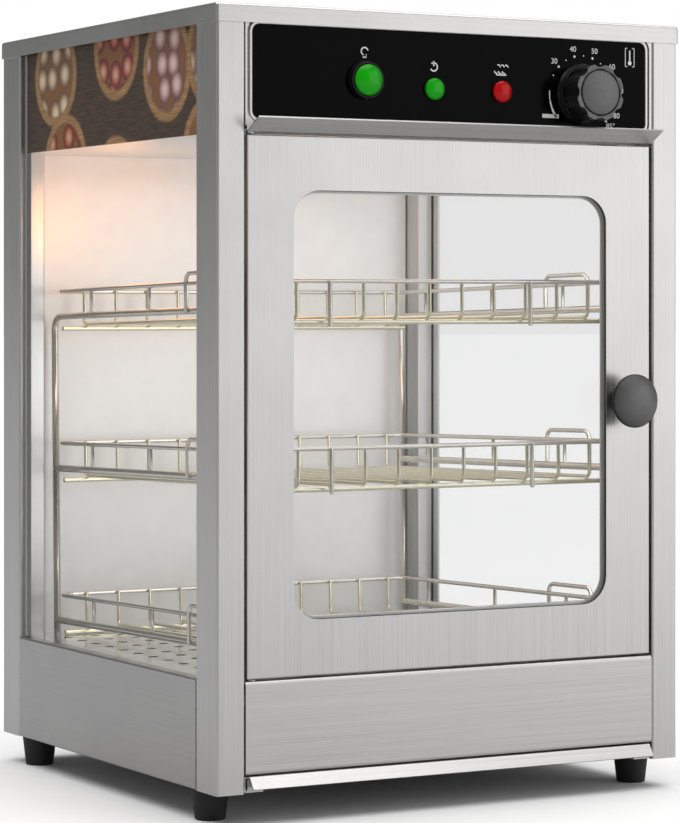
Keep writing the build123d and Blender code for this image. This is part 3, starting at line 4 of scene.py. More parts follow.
import bpy
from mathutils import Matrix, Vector


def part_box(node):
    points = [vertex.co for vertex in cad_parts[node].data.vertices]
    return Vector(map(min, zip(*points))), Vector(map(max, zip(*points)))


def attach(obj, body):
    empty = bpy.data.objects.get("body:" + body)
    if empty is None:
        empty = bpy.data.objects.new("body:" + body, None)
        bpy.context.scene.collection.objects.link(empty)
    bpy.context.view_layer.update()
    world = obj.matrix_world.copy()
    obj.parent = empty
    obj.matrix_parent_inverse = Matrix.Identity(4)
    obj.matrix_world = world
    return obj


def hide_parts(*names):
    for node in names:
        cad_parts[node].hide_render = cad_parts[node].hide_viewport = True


bl_info = {
    "name": "Heated display case",
    "version": (1, 0, 0),
    "blender": (4, 5, 0),
    "location": "View3D > Sidebar > Display case",
    "description": "Dresses the heated display case and sets it in a plain studio",
    "category": "Object",
}

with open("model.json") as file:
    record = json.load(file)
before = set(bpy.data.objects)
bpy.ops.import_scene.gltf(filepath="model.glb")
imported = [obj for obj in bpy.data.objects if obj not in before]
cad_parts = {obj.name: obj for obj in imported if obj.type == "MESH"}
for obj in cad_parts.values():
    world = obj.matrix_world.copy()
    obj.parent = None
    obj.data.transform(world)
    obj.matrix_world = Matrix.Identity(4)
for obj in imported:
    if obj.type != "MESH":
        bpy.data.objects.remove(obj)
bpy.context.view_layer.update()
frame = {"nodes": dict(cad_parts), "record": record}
millimetre = 0.001


class CaseLook(bpy.types.PropertyGroup):
    """Colours and small sizes that a user may change before the pieces are made."""

    steel_tone: bpy.props.FloatVectorProperty(
        name="Steel tone",
        description="Colour of the brushed steel sheets",
        subtype="COLOR",
        default=(0.58, 0.575, 0.565),
    )
    liner_tone: bpy.props.FloatVectorProperty(
        name="Liner tone",
        description="Colour of the satin steel inside the warm space",
        subtype="COLOR",
        default=(0.86, 0.86, 0.855),
    )
    wire_tone: bpy.props.FloatVectorProperty(
        name="Wire tone",
        description="Colour of the rack's bright wire",
        subtype="COLOR",
        default=(0.74, 0.71, 0.66),
    )
    knob_tone: bpy.props.FloatVectorProperty(
        name="Knob tone",
        description="Colour of the two moulded knobs",
        subtype="COLOR",
        default=(0.15, 0.15, 0.152),
    )
    green_tone: bpy.props.FloatVectorProperty(
        name="Green lens",
        description="Colour of the push button and of the power lamp",
        subtype="COLOR",
        default=(0.005, 0.30, 0.003),
    )
    red_tone: bpy.props.FloatVectorProperty(
        name="Red lens",
        description="Colour of the heat lamp",
        subtype="COLOR",
        default=(0.38, 0.003, 0.005),
    )
    glow_tone: bpy.props.FloatVectorProperty(
        name="Lamp glow",
        description="Colour of the light from the cabinet lamp",
        subtype="COLOR",
        default=(1.0, 0.37, 0.06),
    )
    numeral_size: bpy.props.FloatProperty(
        name="Numeral size",
        description="Type size of the temperatures round the thermostat knob",
        default=5.2 * millimetre,
        unit="LENGTH",
    )
    numeral_radius: bpy.props.FloatProperty(
        name="Numeral radius",
        description="Distance of the temperatures from the middle of the thermostat knob",
        default=31.0 * millimetre,
        unit="LENGTH",
    )
    ink_thickness: bpy.props.FloatProperty(
        name="Ink thickness",
        description="How far the white print stands on the black panel",
        default=0.04 * millimetre,
        unit="LENGTH",
    )


class StudioLook(bpy.types.PropertyGroup):
    """Strengths of the studio's lights that a user may change."""

    sky_strength: bpy.props.FloatProperty(
        name="Sky strength",
        description="Strength of the even light from all round",
        default=0.21,
    )
    overhead_strength: bpy.props.FloatProperty(
        name="Overhead strength",
        description="Strength of the wide soft light from above",
        default=3.1,
    )
    front_power: bpy.props.FloatProperty(
        name="Front power",
        description="Power of the large panel at the front right",
        default=34.0,
        unit="POWER",
    )
    inside_power: bpy.props.FloatProperty(
        name="Inside power",
        description="Power of the soft light under the ceiling of the warm space",
        default=0.15,
        unit="POWER",
    )
    fill_power: bpy.props.FloatProperty(
        name="Fill power",
        description="Power of the soft light that falls on the back wall",
        default=0.29,
        unit="POWER",
    )
    glow_power: bpy.props.FloatProperty(
        name="Glow power",
        description="Power of the warm light from the cabinet lamp",
        default=0.075,
        unit="POWER",
    )


def look():
    """The settings that the pieces are made from."""
    return bpy.context.scene.case_look


def studio():
    """The settings that the lights are made from."""
    return bpy.context.scene.studio_look


# Materials


# Sockets of a Mix node that is set to colour
mix_factor, mix_lower, mix_upper = 0, 6, 7
mix_result = 2

# Levels that nearly all of a noise lies between
noise_low = 0.3
noise_high = 0.7


def new_material(name, **values):
    """A node material whose surface shader has these constant values."""
    material = bpy.data.materials.new(name)
    material.use_nodes = True
    shader = material.node_tree.nodes["Principled BSDF"]
    for socket, value in values.items():
        shader.inputs[socket.replace("_", " ")].default_value = value
    return material


def colour(tone, alpha=1.0):
    return (tone[0], tone[1], tone[2], alpha)


def shader_of(material):
    return material.node_tree.nodes["Principled BSDF"]


def add_node(material, kind, **settings):
    """A node of this kind, with its settings and its inputs' values given by name."""
    node = material.node_tree.nodes.new(kind)
    for name, value in settings.items():
        socket = name.replace("_", " ")
        if socket in node.inputs:
            node.inputs[socket].default_value = value
        else:
            setattr(node, name, value)
    return node


def link(material, output, target):
    material.node_tree.links.new(output, target)


def object_place(material, stretch=(1.0, 1.0, 1.0)):
    """Object coordinates, stretched along the three axes."""
    place = add_node(material, "ShaderNodeTexCoord")
    mapping = add_node(material, "ShaderNodeMapping")
    mapping.inputs["Scale"].default_value = stretch
    link(material, place.outputs["Object"], mapping.inputs["Vector"])
    return mapping.outputs["Vector"]


def grain(material, stretch, detail=5.0):
    """Fine noise stretched along the three axes."""
    noise = add_node(material, "ShaderNodeTexNoise", Scale=1.0, Detail=detail, Roughness=0.62)
    link(material, object_place(material, stretch), noise.inputs["Vector"])
    return noise.outputs["Fac"]


def even_grain(material, fineness, detail=5.0):
    """Fine noise, as fine along each of the three axes."""
    return grain(material, (fineness, fineness, fineness), detail)


def shaded(material, factor, *stops):
    """A ramp through these stops, each a level of the factor and its colour."""
    ramp = add_node(material, "ShaderNodeValToRGB")
    marks = ramp.color_ramp.elements
    for mark, (level, shade) in zip((marks[0], marks[1]), (stops[0], stops[-1])):
        mark.position = level
        mark.color = shade
    for level, shade in stops[1:-1]:
        marks.new(level).color = shade
    link(material, factor, ramp.inputs["Fac"])
    return ramp.outputs["Color"]


def shade_between(material, factor, low, high, dark, light):
    """A ramp from the dark colour to the light one between two levels of the factor."""
    return shaded(material, factor, (low, dark), (high, light))


def range_between(material, factor, low, high, to_low, to_high):
    """The factor's range from low to high, mapped to another range."""
    spread = add_node(material, "ShaderNodeMapRange")
    spread.inputs["From Min"].default_value = low
    spread.inputs["From Max"].default_value = high
    spread.inputs["To Min"].default_value = to_low
    spread.inputs["To Max"].default_value = to_high
    link(material, factor, spread.inputs["Value"])
    return spread.outputs["Result"]


def raise_surface(material, factor, strength, distance):
    """Lets the factor dent the surface by up to this distance."""
    bump = add_node(material, "ShaderNodeBump", Strength=strength, Distance=distance)
    link(material, factor, bump.inputs["Height"])
    link(material, bump.outputs["Normal"], shader_of(material).inputs["Normal"])


def tint(tone, share):
    return (tone[0] * share, tone[1] * share, tone[2] * share, 1.0)


# Lines per metre of a brushed sheet, across its brushing and along it
brush_across = 1500.0
brush_along = 5.0
brush_stretch = {
    "X": (brush_along, brush_across, brush_across),
    "Y": (brush_across, brush_along, brush_across),
    "Z": (brush_across, brush_across, brush_along),
}


def brushed_steel(name, along, tone, smooth=0.24, rough=0.40):
    """Sheet steel with fine lines along one axis and faint handling marks."""
    material = new_material(name, Metallic=1.0)
    lines = grain(material, brush_stretch[along])
    base = shade_between(material, lines, 0.30, 0.72, tint(tone, 0.86), tint(tone, 1.10))
    link(material, base, shader_of(material).inputs["Base Color"])
    marks = even_grain(material, 14.0, 3.0)
    blend = add_node(material, "ShaderNodeMath", operation="MULTIPLY_ADD")
    blend.inputs[1].default_value = 0.45
    link(material, marks, blend.inputs[0])
    link(material, lines, blend.inputs[2])
    roughness = range_between(material, blend.outputs["Value"], 0.45, 0.95, smooth, rough)
    link(material, roughness, shader_of(material).inputs["Roughness"])
    raise_surface(material, lines, 0.20, 0.03 * millimetre)
    return material


def satin_steel(name, tone, metallic=0.85, rough=0.34):
    """Rolled sheet with a soft, nearly even shine."""
    material = new_material(name, Metallic=metallic)
    cloud = even_grain(material, 45.0, 6.0)
    base = shade_between(material, cloud, noise_low, noise_high, tint(tone, 0.94), tint(tone, 1.04))
    link(material, base, shader_of(material).inputs["Base Color"])
    roughness = range_between(material, cloud, noise_low, noise_high, rough - 0.06, rough + 0.06)
    link(material, roughness, shader_of(material).inputs["Roughness"])
    raise_surface(material, even_grain(material, 900.0), 0.12, 0.02 * millimetre)
    return material


def moulded_plastic(name, tone, rough, texture=1600.0, dent=0.05, coat=0.0, gloss=0.5):
    """Moulded plastic with a fine even texture."""
    material = new_material(
        name, Coat_Weight=coat, Coat_Roughness=0.12, Specular_IOR_Level=gloss
    )
    pores = even_grain(material, texture, 3.0)
    base = shade_between(material, pores, 0.25, 0.75, tint(tone, 0.85), tint(tone, 1.15))
    link(material, base, shader_of(material).inputs["Base Color"])
    roughness = range_between(material, pores, 0.2, 0.8, rough - 0.05, rough + 0.05)
    link(material, roughness, shader_of(material).inputs["Roughness"])
    raise_surface(material, pores, 0.35, dent * millimetre)
    return material


def capped_plastic(name, tone, rough, texture):
    """Moulded plastic with painted shade: faces turned to the front keep their grey, faces turned to
    the side are painted nearly black.
    """
    material = moulded_plastic(name, tone, rough, texture, 0.03, 0.0, 0.3)
    skin = shader_of(material).inputs["Base Color"].links[0].from_socket
    facing = add_node(material, "ShaderNodeSeparateXYZ")
    place = add_node(material, "ShaderNodeTexCoord")
    link(material, place.outputs["Normal"], facing.inputs["Vector"])
    # Painted shade: the grey falls to 0.07 of itself as the face turns away from the front.
    share = range_between(material, facing.outputs["Y"], -0.98, -0.62, 1.0, 0.07)
    black = add_node(material, "ShaderNodeMix", data_type="RGBA", blend_type="MULTIPLY")
    black.inputs[mix_factor].default_value = 1.0
    link(material, skin, black.inputs[mix_lower])
    link(material, share, black.inputs[mix_upper])
    link(material, black.outputs[mix_result], shader_of(material).inputs["Base Color"])
    return material


def clear_glass(name, tone, alpha):
    """Clear sheet glass, its faint waviness in the roughness alone."""
    material = new_material(name, Alpha=alpha, IOR=1.5, Specular_IOR_Level=0.8)
    wave = even_grain(material, 9.0, 2.0)
    base = shade_between(material, wave, noise_low, noise_high, tint(tone, 0.97), tint(tone, 1.0))
    link(material, base, shader_of(material).inputs["Base Color"])
    roughness = range_between(material, wave, noise_low, noise_high, 0.01, 0.04)
    link(material, roughness, shader_of(material).inputs["Roughness"])
    return material


def lit_lens(name, tone, glow):
    """Coloured lens with painted shade that lightens its middle and darkens its rim, lit a little
    from behind.
    """
    material = new_material(
        name,
        Roughness=0.16,
        Specular_IOR_Level=0.22,
        Emission_Strength=glow,
        Emission_Color=colour(tone),
    )
    painted_rim_shade = add_node(material, "ShaderNodeLayerWeight", Blend=0.42)
    facing = painted_rim_shade.outputs["Facing"]
    # Painted shade: brighter where the lens faces the viewer, darker towards its rim.
    base = shade_between(material, facing, 0.05, 0.85, tint(tone, 1.25), tint(tone, 0.35))
    link(material, base, shader_of(material).inputs["Base Color"])
    raise_surface(material, even_grain(material, 260.0, 2.0), 0.15, 0.05 * millimetre)
    return material


def glowing_glass(name, strength, texture, tones, **values):
    """Frosted glass, lit from inside in the lamp's colour."""
    glow = colour(look().glow_tone)
    material = new_material(name, Emission_Strength=strength, Emission_Color=glow, **values)
    frost = even_grain(material, texture)
    base = shade_between(material, frost, noise_low, noise_high, *tones)
    link(material, base, shader_of(material).inputs["Base Color"])
    return material


def between(material, factor, low, high):
    """One between the two levels of the factor, zero outside them, with soft ends."""
    soft = 0.015
    rise = range_between(material, factor, low - soft, low + soft, 0.0, 1.0)
    fall = range_between(material, factor, high - soft, high + soft, 1.0, 0.0)
    both = add_node(material, "ShaderNodeMath", operation="MULTIPLY")
    link(material, rise, both.inputs[0])
    link(material, fall, both.inputs[1])
    return both.outputs["Value"]


def over(material, factor, lower, upper):
    """The upper colour laid over the lower one where the factor is one."""
    mix = add_node(material, "ShaderNodeMix", data_type="RGBA")
    link(material, factor, mix.inputs[mix_factor])
    link(material, lower, mix.inputs[mix_lower])
    link(material, upper, mix.inputs[mix_upper])
    return mix.outputs[mix_result]


def film_place(material):
    """The film's own flat place: along the side, and up."""
    place = add_node(material, "ShaderNodeTexCoord")
    split = add_node(material, "ShaderNodeSeparateXYZ")
    flat = add_node(material, "ShaderNodeCombineXYZ")
    link(material, place.outputs["Object"], split.inputs["Vector"])
    link(material, split.outputs["Y"], flat.inputs["X"])
    link(material, split.outputs["Z"], flat.inputs["Y"])
    return flat.outputs["Vector"]


def spots(material, place, scale, spread):
    """Round cells scattered over the film."""
    cells = add_node(
        material, "ShaderNodeTexVoronoi", voronoi_dimensions="2D", Scale=scale, Randomness=spread
    )
    link(material, place, cells.inputs["Vector"])
    return cells


# The print: plates and rolls per metre, then radii as shares of their spacing
film_plates = 12.6
film_rolls = 52.0
roll_edge = 0.46
roll_end = 0.54
plate_inside = 0.37
plate_outside = 0.45
table_tones = ((0.020, 0.008, 0.004, 1.0), (0.16, 0.065, 0.022, 1.0))
plate_tones = ((0.34, 0.15, 0.045, 1.0), (0.75, 0.42, 0.16, 1.0))
filling_tones = ((0.22, 0.075, 0.018, 1.0), (0.50, 0.19, 0.045, 1.0))


def film_crust(material, crumbs, rolls, plates):
    """The rolls' crust, pale on top and brown at the edge, of another hue on each plate."""
    uneven = add_node(material, "ShaderNodeMath", operation="MULTIPLY_ADD")
    uneven.inputs[1].default_value = 0.22
    link(material, crumbs, uneven.inputs[0])
    link(material, rolls.outputs["Distance"], uneven.inputs[2])
    crust = shaded(
        material,
        uneven.outputs["Value"],
        (0.10, (0.95, 0.80, 0.56, 1.0)),
        (0.30, (0.85, 0.52, 0.20, 1.0)),
        (0.46, (0.46, 0.15, 0.035, 1.0)),
        (0.62, (0.10, 0.030, 0.010, 1.0)),
    )
    kind = add_node(material, "ShaderNodeSeparateColor")
    link(material, plates.outputs["Color"], kind.inputs["Color"])
    hue = add_node(material, "ShaderNodeHueSaturation")
    ranges = (
        ("Red", "Hue", 0.455, 0.56),
        ("Green", "Saturation", 0.35, 1.25),
        ("Blue", "Value", 0.75, 1.25),
    )
    for channel, socket, low, high in ranges:
        share = range_between(material, kind.outputs[channel], 0.0, 1.0, low, high)
        link(material, share, hue.inputs[socket])
    link(material, crust, hue.inputs["Color"])
    return hue.outputs["Color"]


def printed_film(name):
    """Printed film: rolls on round wooden plates, over a dark table."""
    material = new_material(name, Roughness=0.28, Specular_IOR_Level=0.4)
    place = film_place(material)
    plates = spots(material, place, film_plates, 0.48)
    rolls = spots(material, place, film_rolls, 0.6)
    crumbs = grain(material, (0.0, 700.0, 700.0), 4.0)
    boards = grain(material, (0.0, 60.0, 900.0), 3.0)
    table = shade_between(material, boards, 0.35, noise_high, *table_tones)
    rim = shade_between(material, boards, noise_low, noise_high, *plate_tones)
    inside = shade_between(material, crumbs, noise_low, noise_high, *filling_tones)
    crust = film_crust(material, crumbs, rolls, plates)
    covered = range_between(material, rolls.outputs["Distance"], roll_edge, roll_end, 1.0, 0.0)
    served = over(material, covered, inside, crust)
    reach = plates.outputs["Distance"]
    laid = over(material, between(material, reach, -1.0, plate_inside), table, served)
    laid = over(material, between(material, reach, plate_inside, plate_outside), laid, rim)
    link(material, laid, shader_of(material).inputs["Base Color"])
    return material


# Helpers for pieces


def only(piece):
    """Selects this piece alone and makes it active."""
    bpy.ops.object.select_all(action="DESELECT")
    piece.select_set(True)
    bpy.context.view_layer.objects.active = piece


def settle(piece, name, body, material):
    """Names a finished piece, gives it its finish and lets it ride on its body."""
    piece.name = name
    piece.data.name = name
    piece.data.materials.clear()
    piece.data.materials.append(material)
    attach(piece, body)
    return piece


def apply_place(piece):
    only(piece)
    bpy.ops.object.transform_apply(location=True, rotation=True, scale=True)


def body_with(node):
    """The body that carries this node."""
    bodies = frame["record"]["behaviour"]["bodies"]
    return next(body for body, nodes in bodies.items() if node in nodes)


def dress(material, *nodes):
    """Gives these nodes of the frame their finish and leaves their shape alone."""
    for node in nodes:
        mesh = frame["nodes"][node].data
        mesh.materials.clear()
        mesh.materials.append(material)


# Edges that turn by more than this many degrees stay sharp
foot_angle = 30.0
lobe_angle = 32.0
fold_angle = 35.0
turned_angle = 40.0
wire_angle = 50.0


def smoothed(node, material, angle=fold_angle):
    """The node's own shape as one closed skin, its folds and rounds shaded smooth."""
    piece = bpy.data.objects.new(node + "_skin", frame["nodes"][node].data.copy())
    bpy.context.scene.collection.objects.link(piece)
    only(piece)
    bpy.ops.object.mode_set(mode="EDIT")
    bpy.ops.mesh.select_all(action="SELECT")
    bpy.ops.mesh.remove_doubles(threshold=0.002 * millimetre)
    bpy.ops.object.mode_set(mode="OBJECT")
    bpy.ops.object.shade_smooth_by_angle(angle=radians(angle))
    even = piece.modifiers.new("even", "WEIGHTED_NORMAL")
    even.keep_sharp = True
    bpy.ops.object.modifier_apply(modifier=even.name)
    settle(piece, node + "_skin", body_with(node), material)
    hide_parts(node)
    return piece


# White print on the black panel

sheet_up = (radians(90.0), 0.0, 0.0)


def ink_text(words, x, y, z, size):
    """A word or number lying on the panel, centred on its place."""
    bpy.ops.object.select_all(action="DESELECT")
    bpy.ops.object.text_add(location=(x, y, z), rotation=sheet_up)
    piece = bpy.context.object
    piece.data.body = words
    piece.data.size = size
    piece.data.align_x = "CENTER"
    piece.data.align_y = "CENTER"
    bpy.ops.object.convert(target="MESH")
    return bpy.context.object


def ink_dot(x, y, z, radius):
    """A round dot."""
    bpy.ops.object.select_all(action="DESELECT")
    bpy.ops.mesh.primitive_circle_add(
        vertices=24, radius=radius, fill_type="NGON", location=(x, y, z), rotation=sheet_up
    )
    return bpy.context.object


def ink_bar(x, y, z, width, height):
    """An upright rectangle."""
    bpy.ops.object.select_all(action="DESELECT")
    bpy.ops.mesh.primitive_plane_add(size=1.0, location=(x, y, z), rotation=sheet_up)
    bpy.context.object.scale = (width, height, 1.0)
    return bpy.context.object


def ink_arc(x, y, z, radius, width, start, end):
    """A band along an arc, its angles counted anticlockwise from the right."""
    mesh = bpy.data.meshes.new("arc")
    inner = radius - width / 2
    outer = radius + width / 2
    first = [
        (x + r * cos(radians(start)), y, z + r * sin(radians(start))) for r in (inner, outer)
    ]
    mesh.from_pydata(first, [(0, 1)], [])
    piece = bpy.data.objects.new("arc", mesh)
    bpy.context.scene.collection.objects.link(piece)
    only(piece)
    bpy.ops.object.mode_set(mode="EDIT")
    bpy.ops.mesh.select_all(action="SELECT")
    steps = max(4, int(abs(end - start) / 8))
    bpy.ops.mesh.spin(steps=steps, angle=radians(start - end), center=(x, y, z), axis=(0, 1, 0))
    bpy.ops.object.mode_set(mode="OBJECT")
    return piece


def join_ink(pieces, name, material):
    """The separate prints as one thin layer."""
    for piece in pieces:
        apply_place(piece)
    only(pieces[0])
    for piece in pieces:
        piece.select_set(True)
    bpy.ops.object.join()
    layer = bpy.context.object
    bpy.ops.object.mode_set(mode="EDIT")
    bpy.ops.mesh.select_all(action="SELECT")
    bpy.ops.mesh.remove_doubles(threshold=0.001 * millimetre)
    bpy.ops.object.mode_set(mode="OBJECT")
    wall = layer.modifiers.new("wall", "SOLIDIFY")
    wall.thickness = look().ink_thickness
    wall.offset = 0.0
    bpy.ops.object.modifier_apply(modifier=wall.name)
    bpy.ops.object.mode_set(mode="EDIT")
    bpy.ops.mesh.select_all(action="SELECT")
    bpy.ops.mesh.normals_make_consistent(inside=False)
    bpy.ops.object.mode_set(mode="OBJECT")
    return settle(layer, name, "cabinet", material)


def centre_of(node):
    low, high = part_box(node)
    return (low + high) / 2


def print_face():
    """Y of the print's middle, with the print's back just clear of the black panel."""
    share_ahead = 0.6
    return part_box("control_panel")[0].y - look().ink_thickness * share_ahead


# The scale's lowest and highest temperature, the lowest one's angle and the angle of a degree
first_degrees = 30
top_degrees = 85
first_angle = 136.0
angle_per_degree = 3.24


def dial_angle(degrees_celsius):
    """Where a temperature stands round the knob."""
    return first_angle - (degrees_celsius - first_degrees) * angle_per_degree


def dial_ink():
    """The temperatures, their dots, the off bar and the thin arc that leads to the first dot."""
    y = print_face()
    hub = centre_of("thermostat_shaft")
    ink = []
    reach = look().numeral_radius
    for value in (30, 40, 50, 60, 70, 80, top_degrees):
        turn = radians(dial_angle(value))
        label = f"{value}°" if value == top_degrees else str(value)
        place = (hub.x + reach * cos(turn), y, hub.z + reach * sin(turn))
        ink.append(ink_text(label, *place, look().numeral_size))
    dot_radius = 26.0 * millimetre
    large_dot = 0.85 * millimetre
    small_dot = 0.45 * millimetre
    for value in range(25, 90, 5):
        turn = radians(dial_angle(value))
        size = large_dot if value % 10 == 0 or value == top_degrees else small_dot
        place = (hub.x + dot_radius * cos(turn), y, hub.z + dot_radius * sin(turn))
        ink.append(ink_dot(*place, size))
    bar_left = 67.3 * millimetre
    bar_right = 80.3 * millimetre
    bar_height = 455.6 * millimetre
    bar_thickness = 2.6 * millimetre
    bar_middle = (bar_left + bar_right) / 2
    ink.append(ink_bar(bar_middle, y, bar_height, bar_right - bar_left, bar_thickness))
    thinning = ((204, 190, 1.5), (190, 176, 1.1), (176, 160, 0.7))
    for start, end, width in thinning:
        ink.append(ink_arc(hub.x, y, hub.z, dot_radius, width * millimetre, start, end))
    return ink


def thermometer_ink():
    """A small thermometer between two brackets."""
    y = print_face()
    x = 137.7 * millimetre
    low = 491.0 * millimetre
    high = 503.4 * millimetre
    middle = (low + high) / 2
    line = 0.5 * millimetre
    half = 3.6 * millimetre
    hook = 1.6 * millimetre
    bulb_radius = 1.5 * millimetre
    bulb_rise = 2.4 * millimetre
    stem_rise = 1.0 * millimetre
    stem_width = 1.0 * millimetre
    stem_height = 7.4 * millimetre
    ink = [
        ink_dot(x, y, low + bulb_rise, bulb_radius),
        ink_bar(x, y, middle + stem_rise, stem_width, stem_height),
    ]
    for side in (-1, 1):
        ink.append(ink_bar(x + side * half, y, middle, line, high - low))
        for end in (low, high):
            ink.append(ink_bar(x + side * (half - hook / 2), y, end, hook, line))
    return ink


# Height of the signs over the middle of the switch and of the lamps
above_switch = 18.8 * millimetre
above_lamp = 14.5 * millimetre


def bulb_ink(x, z):
    """A light bulb sign."""
    y = print_face()
    line = 0.8 * millimetre
    ring = 2.5 * millimetre
    thread = 1.3 * millimetre
    cap_width = 2.8 * millimetre
    ink = [ink_arc(x, y, z, ring, line, -55, 235)]
    for turn in (0, 1):
        ink.append(ink_bar(x, y, z - ring - turn * thread, cap_width, line))
    return ink


def power_ink(x, z):
    """A power sign: an open ring with a stroke in its gap."""
    y = print_face()
    line = 0.85 * millimetre
    ring = 2.7 * millimetre
    stroke = 3.4 * millimetre
    return [
        ink_arc(x, y, z, ring, line, 130, 410),
        ink_bar(x, y, z + ring * 0.8, line, stroke),
    ]


def heat_ink(x, z):
    """A heat sign: three rising waves over a line."""
    y = print_face()
    line = 0.75 * millimetre
    base_width = 8.0 * millimetre
    base_drop = 3.4 * millimetre
    wave_pitch = 3.0 * millimetre
    curl = 1.5 * millimetre
    low_curl = -0.9 * millimetre
    high_curl = 1.7 * millimetre
    ink = [ink_bar(x, y, z - base_drop, base_width, line)]
    for column in (-1, 0, 1):
        middle = x + column * wave_pitch - curl / 2
        ink.append(ink_arc(middle, y, z + low_curl, curl, line, -60, 60))
        ink.append(ink_arc(middle + curl, y, z + high_curl, curl, line, 120, 240))
    return ink


# Operators


class CASE_OT_sheets(bpy.types.Operator):
    """Dresses the casing's brushed steel sheets"""

    bl_idname = "display_case.sheets"
    bl_label = "Steel sheets"

    def execute(self, context):
        tone = look().steel_tone
        upright = brushed_steel("upright_brushed_steel", "Z", tone)
        across = brushed_steel("cross_brushed_steel", "X", tone)
        lengthwise = brushed_steel("lengthwise_brushed_steel", "Y", tone)
        for node in ("front_post_left", "front_post_right", "rear_post_left", "rear_post_right"):
            smoothed(node, upright)
        for node in ("top_cover", "lower_front_panel", "fascia_frame", "control_plate", "crumb_tray"):
            smoothed(node, across)
        # Painted shade: the side panels get a copy of the steel at 0.8 of its tone, darker because
        # the sides take less light.
        side = brushed_steel("shaded_side_brushed_steel", "Y", tint(tone, 0.80))
        for node in ("side_panel_left", "side_panel_right"):
            smoothed(node, side)
        dress(upright, "rear_cover")
        for node in ("base_rail_left", "base_rail_right"):
            smoothed(node, lengthwise)
        return {"FINISHED"}


class CASE_OT_liners(bpy.types.Operator):
    """Dresses the warm space: back wall, floor and ceiling"""

    bl_idname = "display_case.liners"
    bl_label = "Liners"

    def execute(self, context):
        tone = look().liner_tone
        wall = satin_steel("satin_liner_steel", tone, 0.35, 0.42)
        floor = satin_steel("polished_floor_steel", tint(tone, 0.8), 0.9, 0.20)
        dress(wall, "back_liner", "ceiling_liner")
        dress(floor, "floor_plate")
        return {"FINISHED"}


class CASE_OT_glazing(bpy.types.Operator):
    """Dresses the side panes, the door pane and the printed film"""

    bl_idname = "display_case.glazing"
    bl_label = "Glazing"

    def execute(self, context):
        side = clear_glass("side_pane_glass", (0.16, 0.20, 0.19), 0.08)
        door = clear_glass("door_pane_glass", (0.18, 0.21, 0.20), 0.08)
        dress(side, "side_glass_left", "side_glass_right")
        dress(door, "door_glass")
        dress(printed_film("printed_film"), "print_strip_left", "print_strip_right")
        return {"FINISHED"}


class CASE_OT_door(bpy.types.Operator):
    """Dresses the door, its seal, its knob, its hinges and its catch"""

    bl_idname = "display_case.door"
    bl_label = "Door"

    def execute(self, context):
        tone = look().steel_tone
        smoothed("door_frame", brushed_steel("door_brushed_steel", "Z", tone))
        smoothed("door_inner_frame", satin_steel("door_liner_steel", look().liner_tone, 0.25, 0.40))
        smoothed("door_seal", moulded_plastic("seal_rubber", (0.016, 0.016, 0.016), 0.62))
        # The knob's sides get painted shade from its material.
        knob = capped_plastic("door_knob_side_shaded_plastic", look().knob_tone, 0.36, 900.0)
        smoothed("door_knob", knob, turned_angle)
        zinc = satin_steel("zinc_plated_steel", (0.62, 0.63, 0.65), 1.0, 0.32)
        for node in ("knob_screw", "hinge_brackets", "strike_plate"):
            smoothed(node, zinc)
        smoothed("magnet_catch", moulded_plastic("catch_plastic", (0.03, 0.03, 0.03), 0.5))
        return {"FINISHED"}


class CASE_OT_controls(bpy.types.Operator):
    """Dresses the control panel, its switch, its lamps and its thermostat knob"""

    bl_idname = "display_case.controls"
    bl_label = "Controls"

    def execute(self, context):
        panel = moulded_plastic(
            "panel_gloss_black", (0.0015, 0.0015, 0.0016), 0.16, 500.0, 0.004, 0.0, 0.04
        )
        dress(panel, "control_panel")
        black = moulded_plastic("bezel_black_plastic", (0.006, 0.006, 0.006), 0.34, gloss=0.3)
        for node in ("switch_body", "dial_base", "signal_lamp_bodies"):
            smoothed(node, black)
        green = lit_lens("green_lens", look().green_tone, 0.12)
        red = lit_lens("red_lens", look().red_tone, 0.12)
        smoothed("light_button", green, turned_angle)
        smoothed("power_lamp_lens", green, turned_angle)
        smoothed("heat_lamp_lens", red, turned_angle)
        # The knob's sides get painted shade from its material.
        knob = capped_plastic("dial_knob_side_shaded_plastic", look().knob_tone, 0.40, 1100.0)
        smoothed("thermostat_knob", knob, lobe_angle)
        return {"FINISHED"}


class CASE_OT_print(bpy.types.Operator):
    """Prints the white scale and signs on the black panel"""

    bl_idname = "display_case.print"
    bl_label = "Panel print"

    def execute(self, context):
        ink = moulded_plastic("white_ink", (0.83, 0.83, 0.82), 0.5, 700.0, 0.004)
        switch = centre_of("light_button")
        power = centre_of("power_lamp_lens")
        heat = centre_of("heat_lamp_lens")
        marks = dial_ink() + thermometer_ink()
        marks += bulb_ink(switch.x, switch.z + above_switch)
        marks += power_ink(power.x, power.z + above_lamp)
        marks += heat_ink(heat.x, heat.z + above_lamp)
        join_ink(marks, "panel_print", ink)
        return {"FINISHED"}


class CASE_OT_rack(bpy.types.Operator):
    """Dresses the wire rack"""

    bl_idname = "display_case.rack"
    bl_label = "Wire rack"

    def execute(self, context):
        wire = satin_steel("bright_wire", look().wire_tone, 1.0, 0.20)
        floor_wire = satin_steel("warm_floor_wire", (0.80, 0.77, 0.61), 1.0, 0.22)
        for node in ("rack_side_left", "rack_side_right", "rack_rims"):
            smoothed(node, wire, wire_angle)
        for node in ("rack_floor_bottom", "rack_floor_middle", "rack_floor_top"):
            smoothed(node, floor_wire, wire_angle)
        return {"FINISHED"}


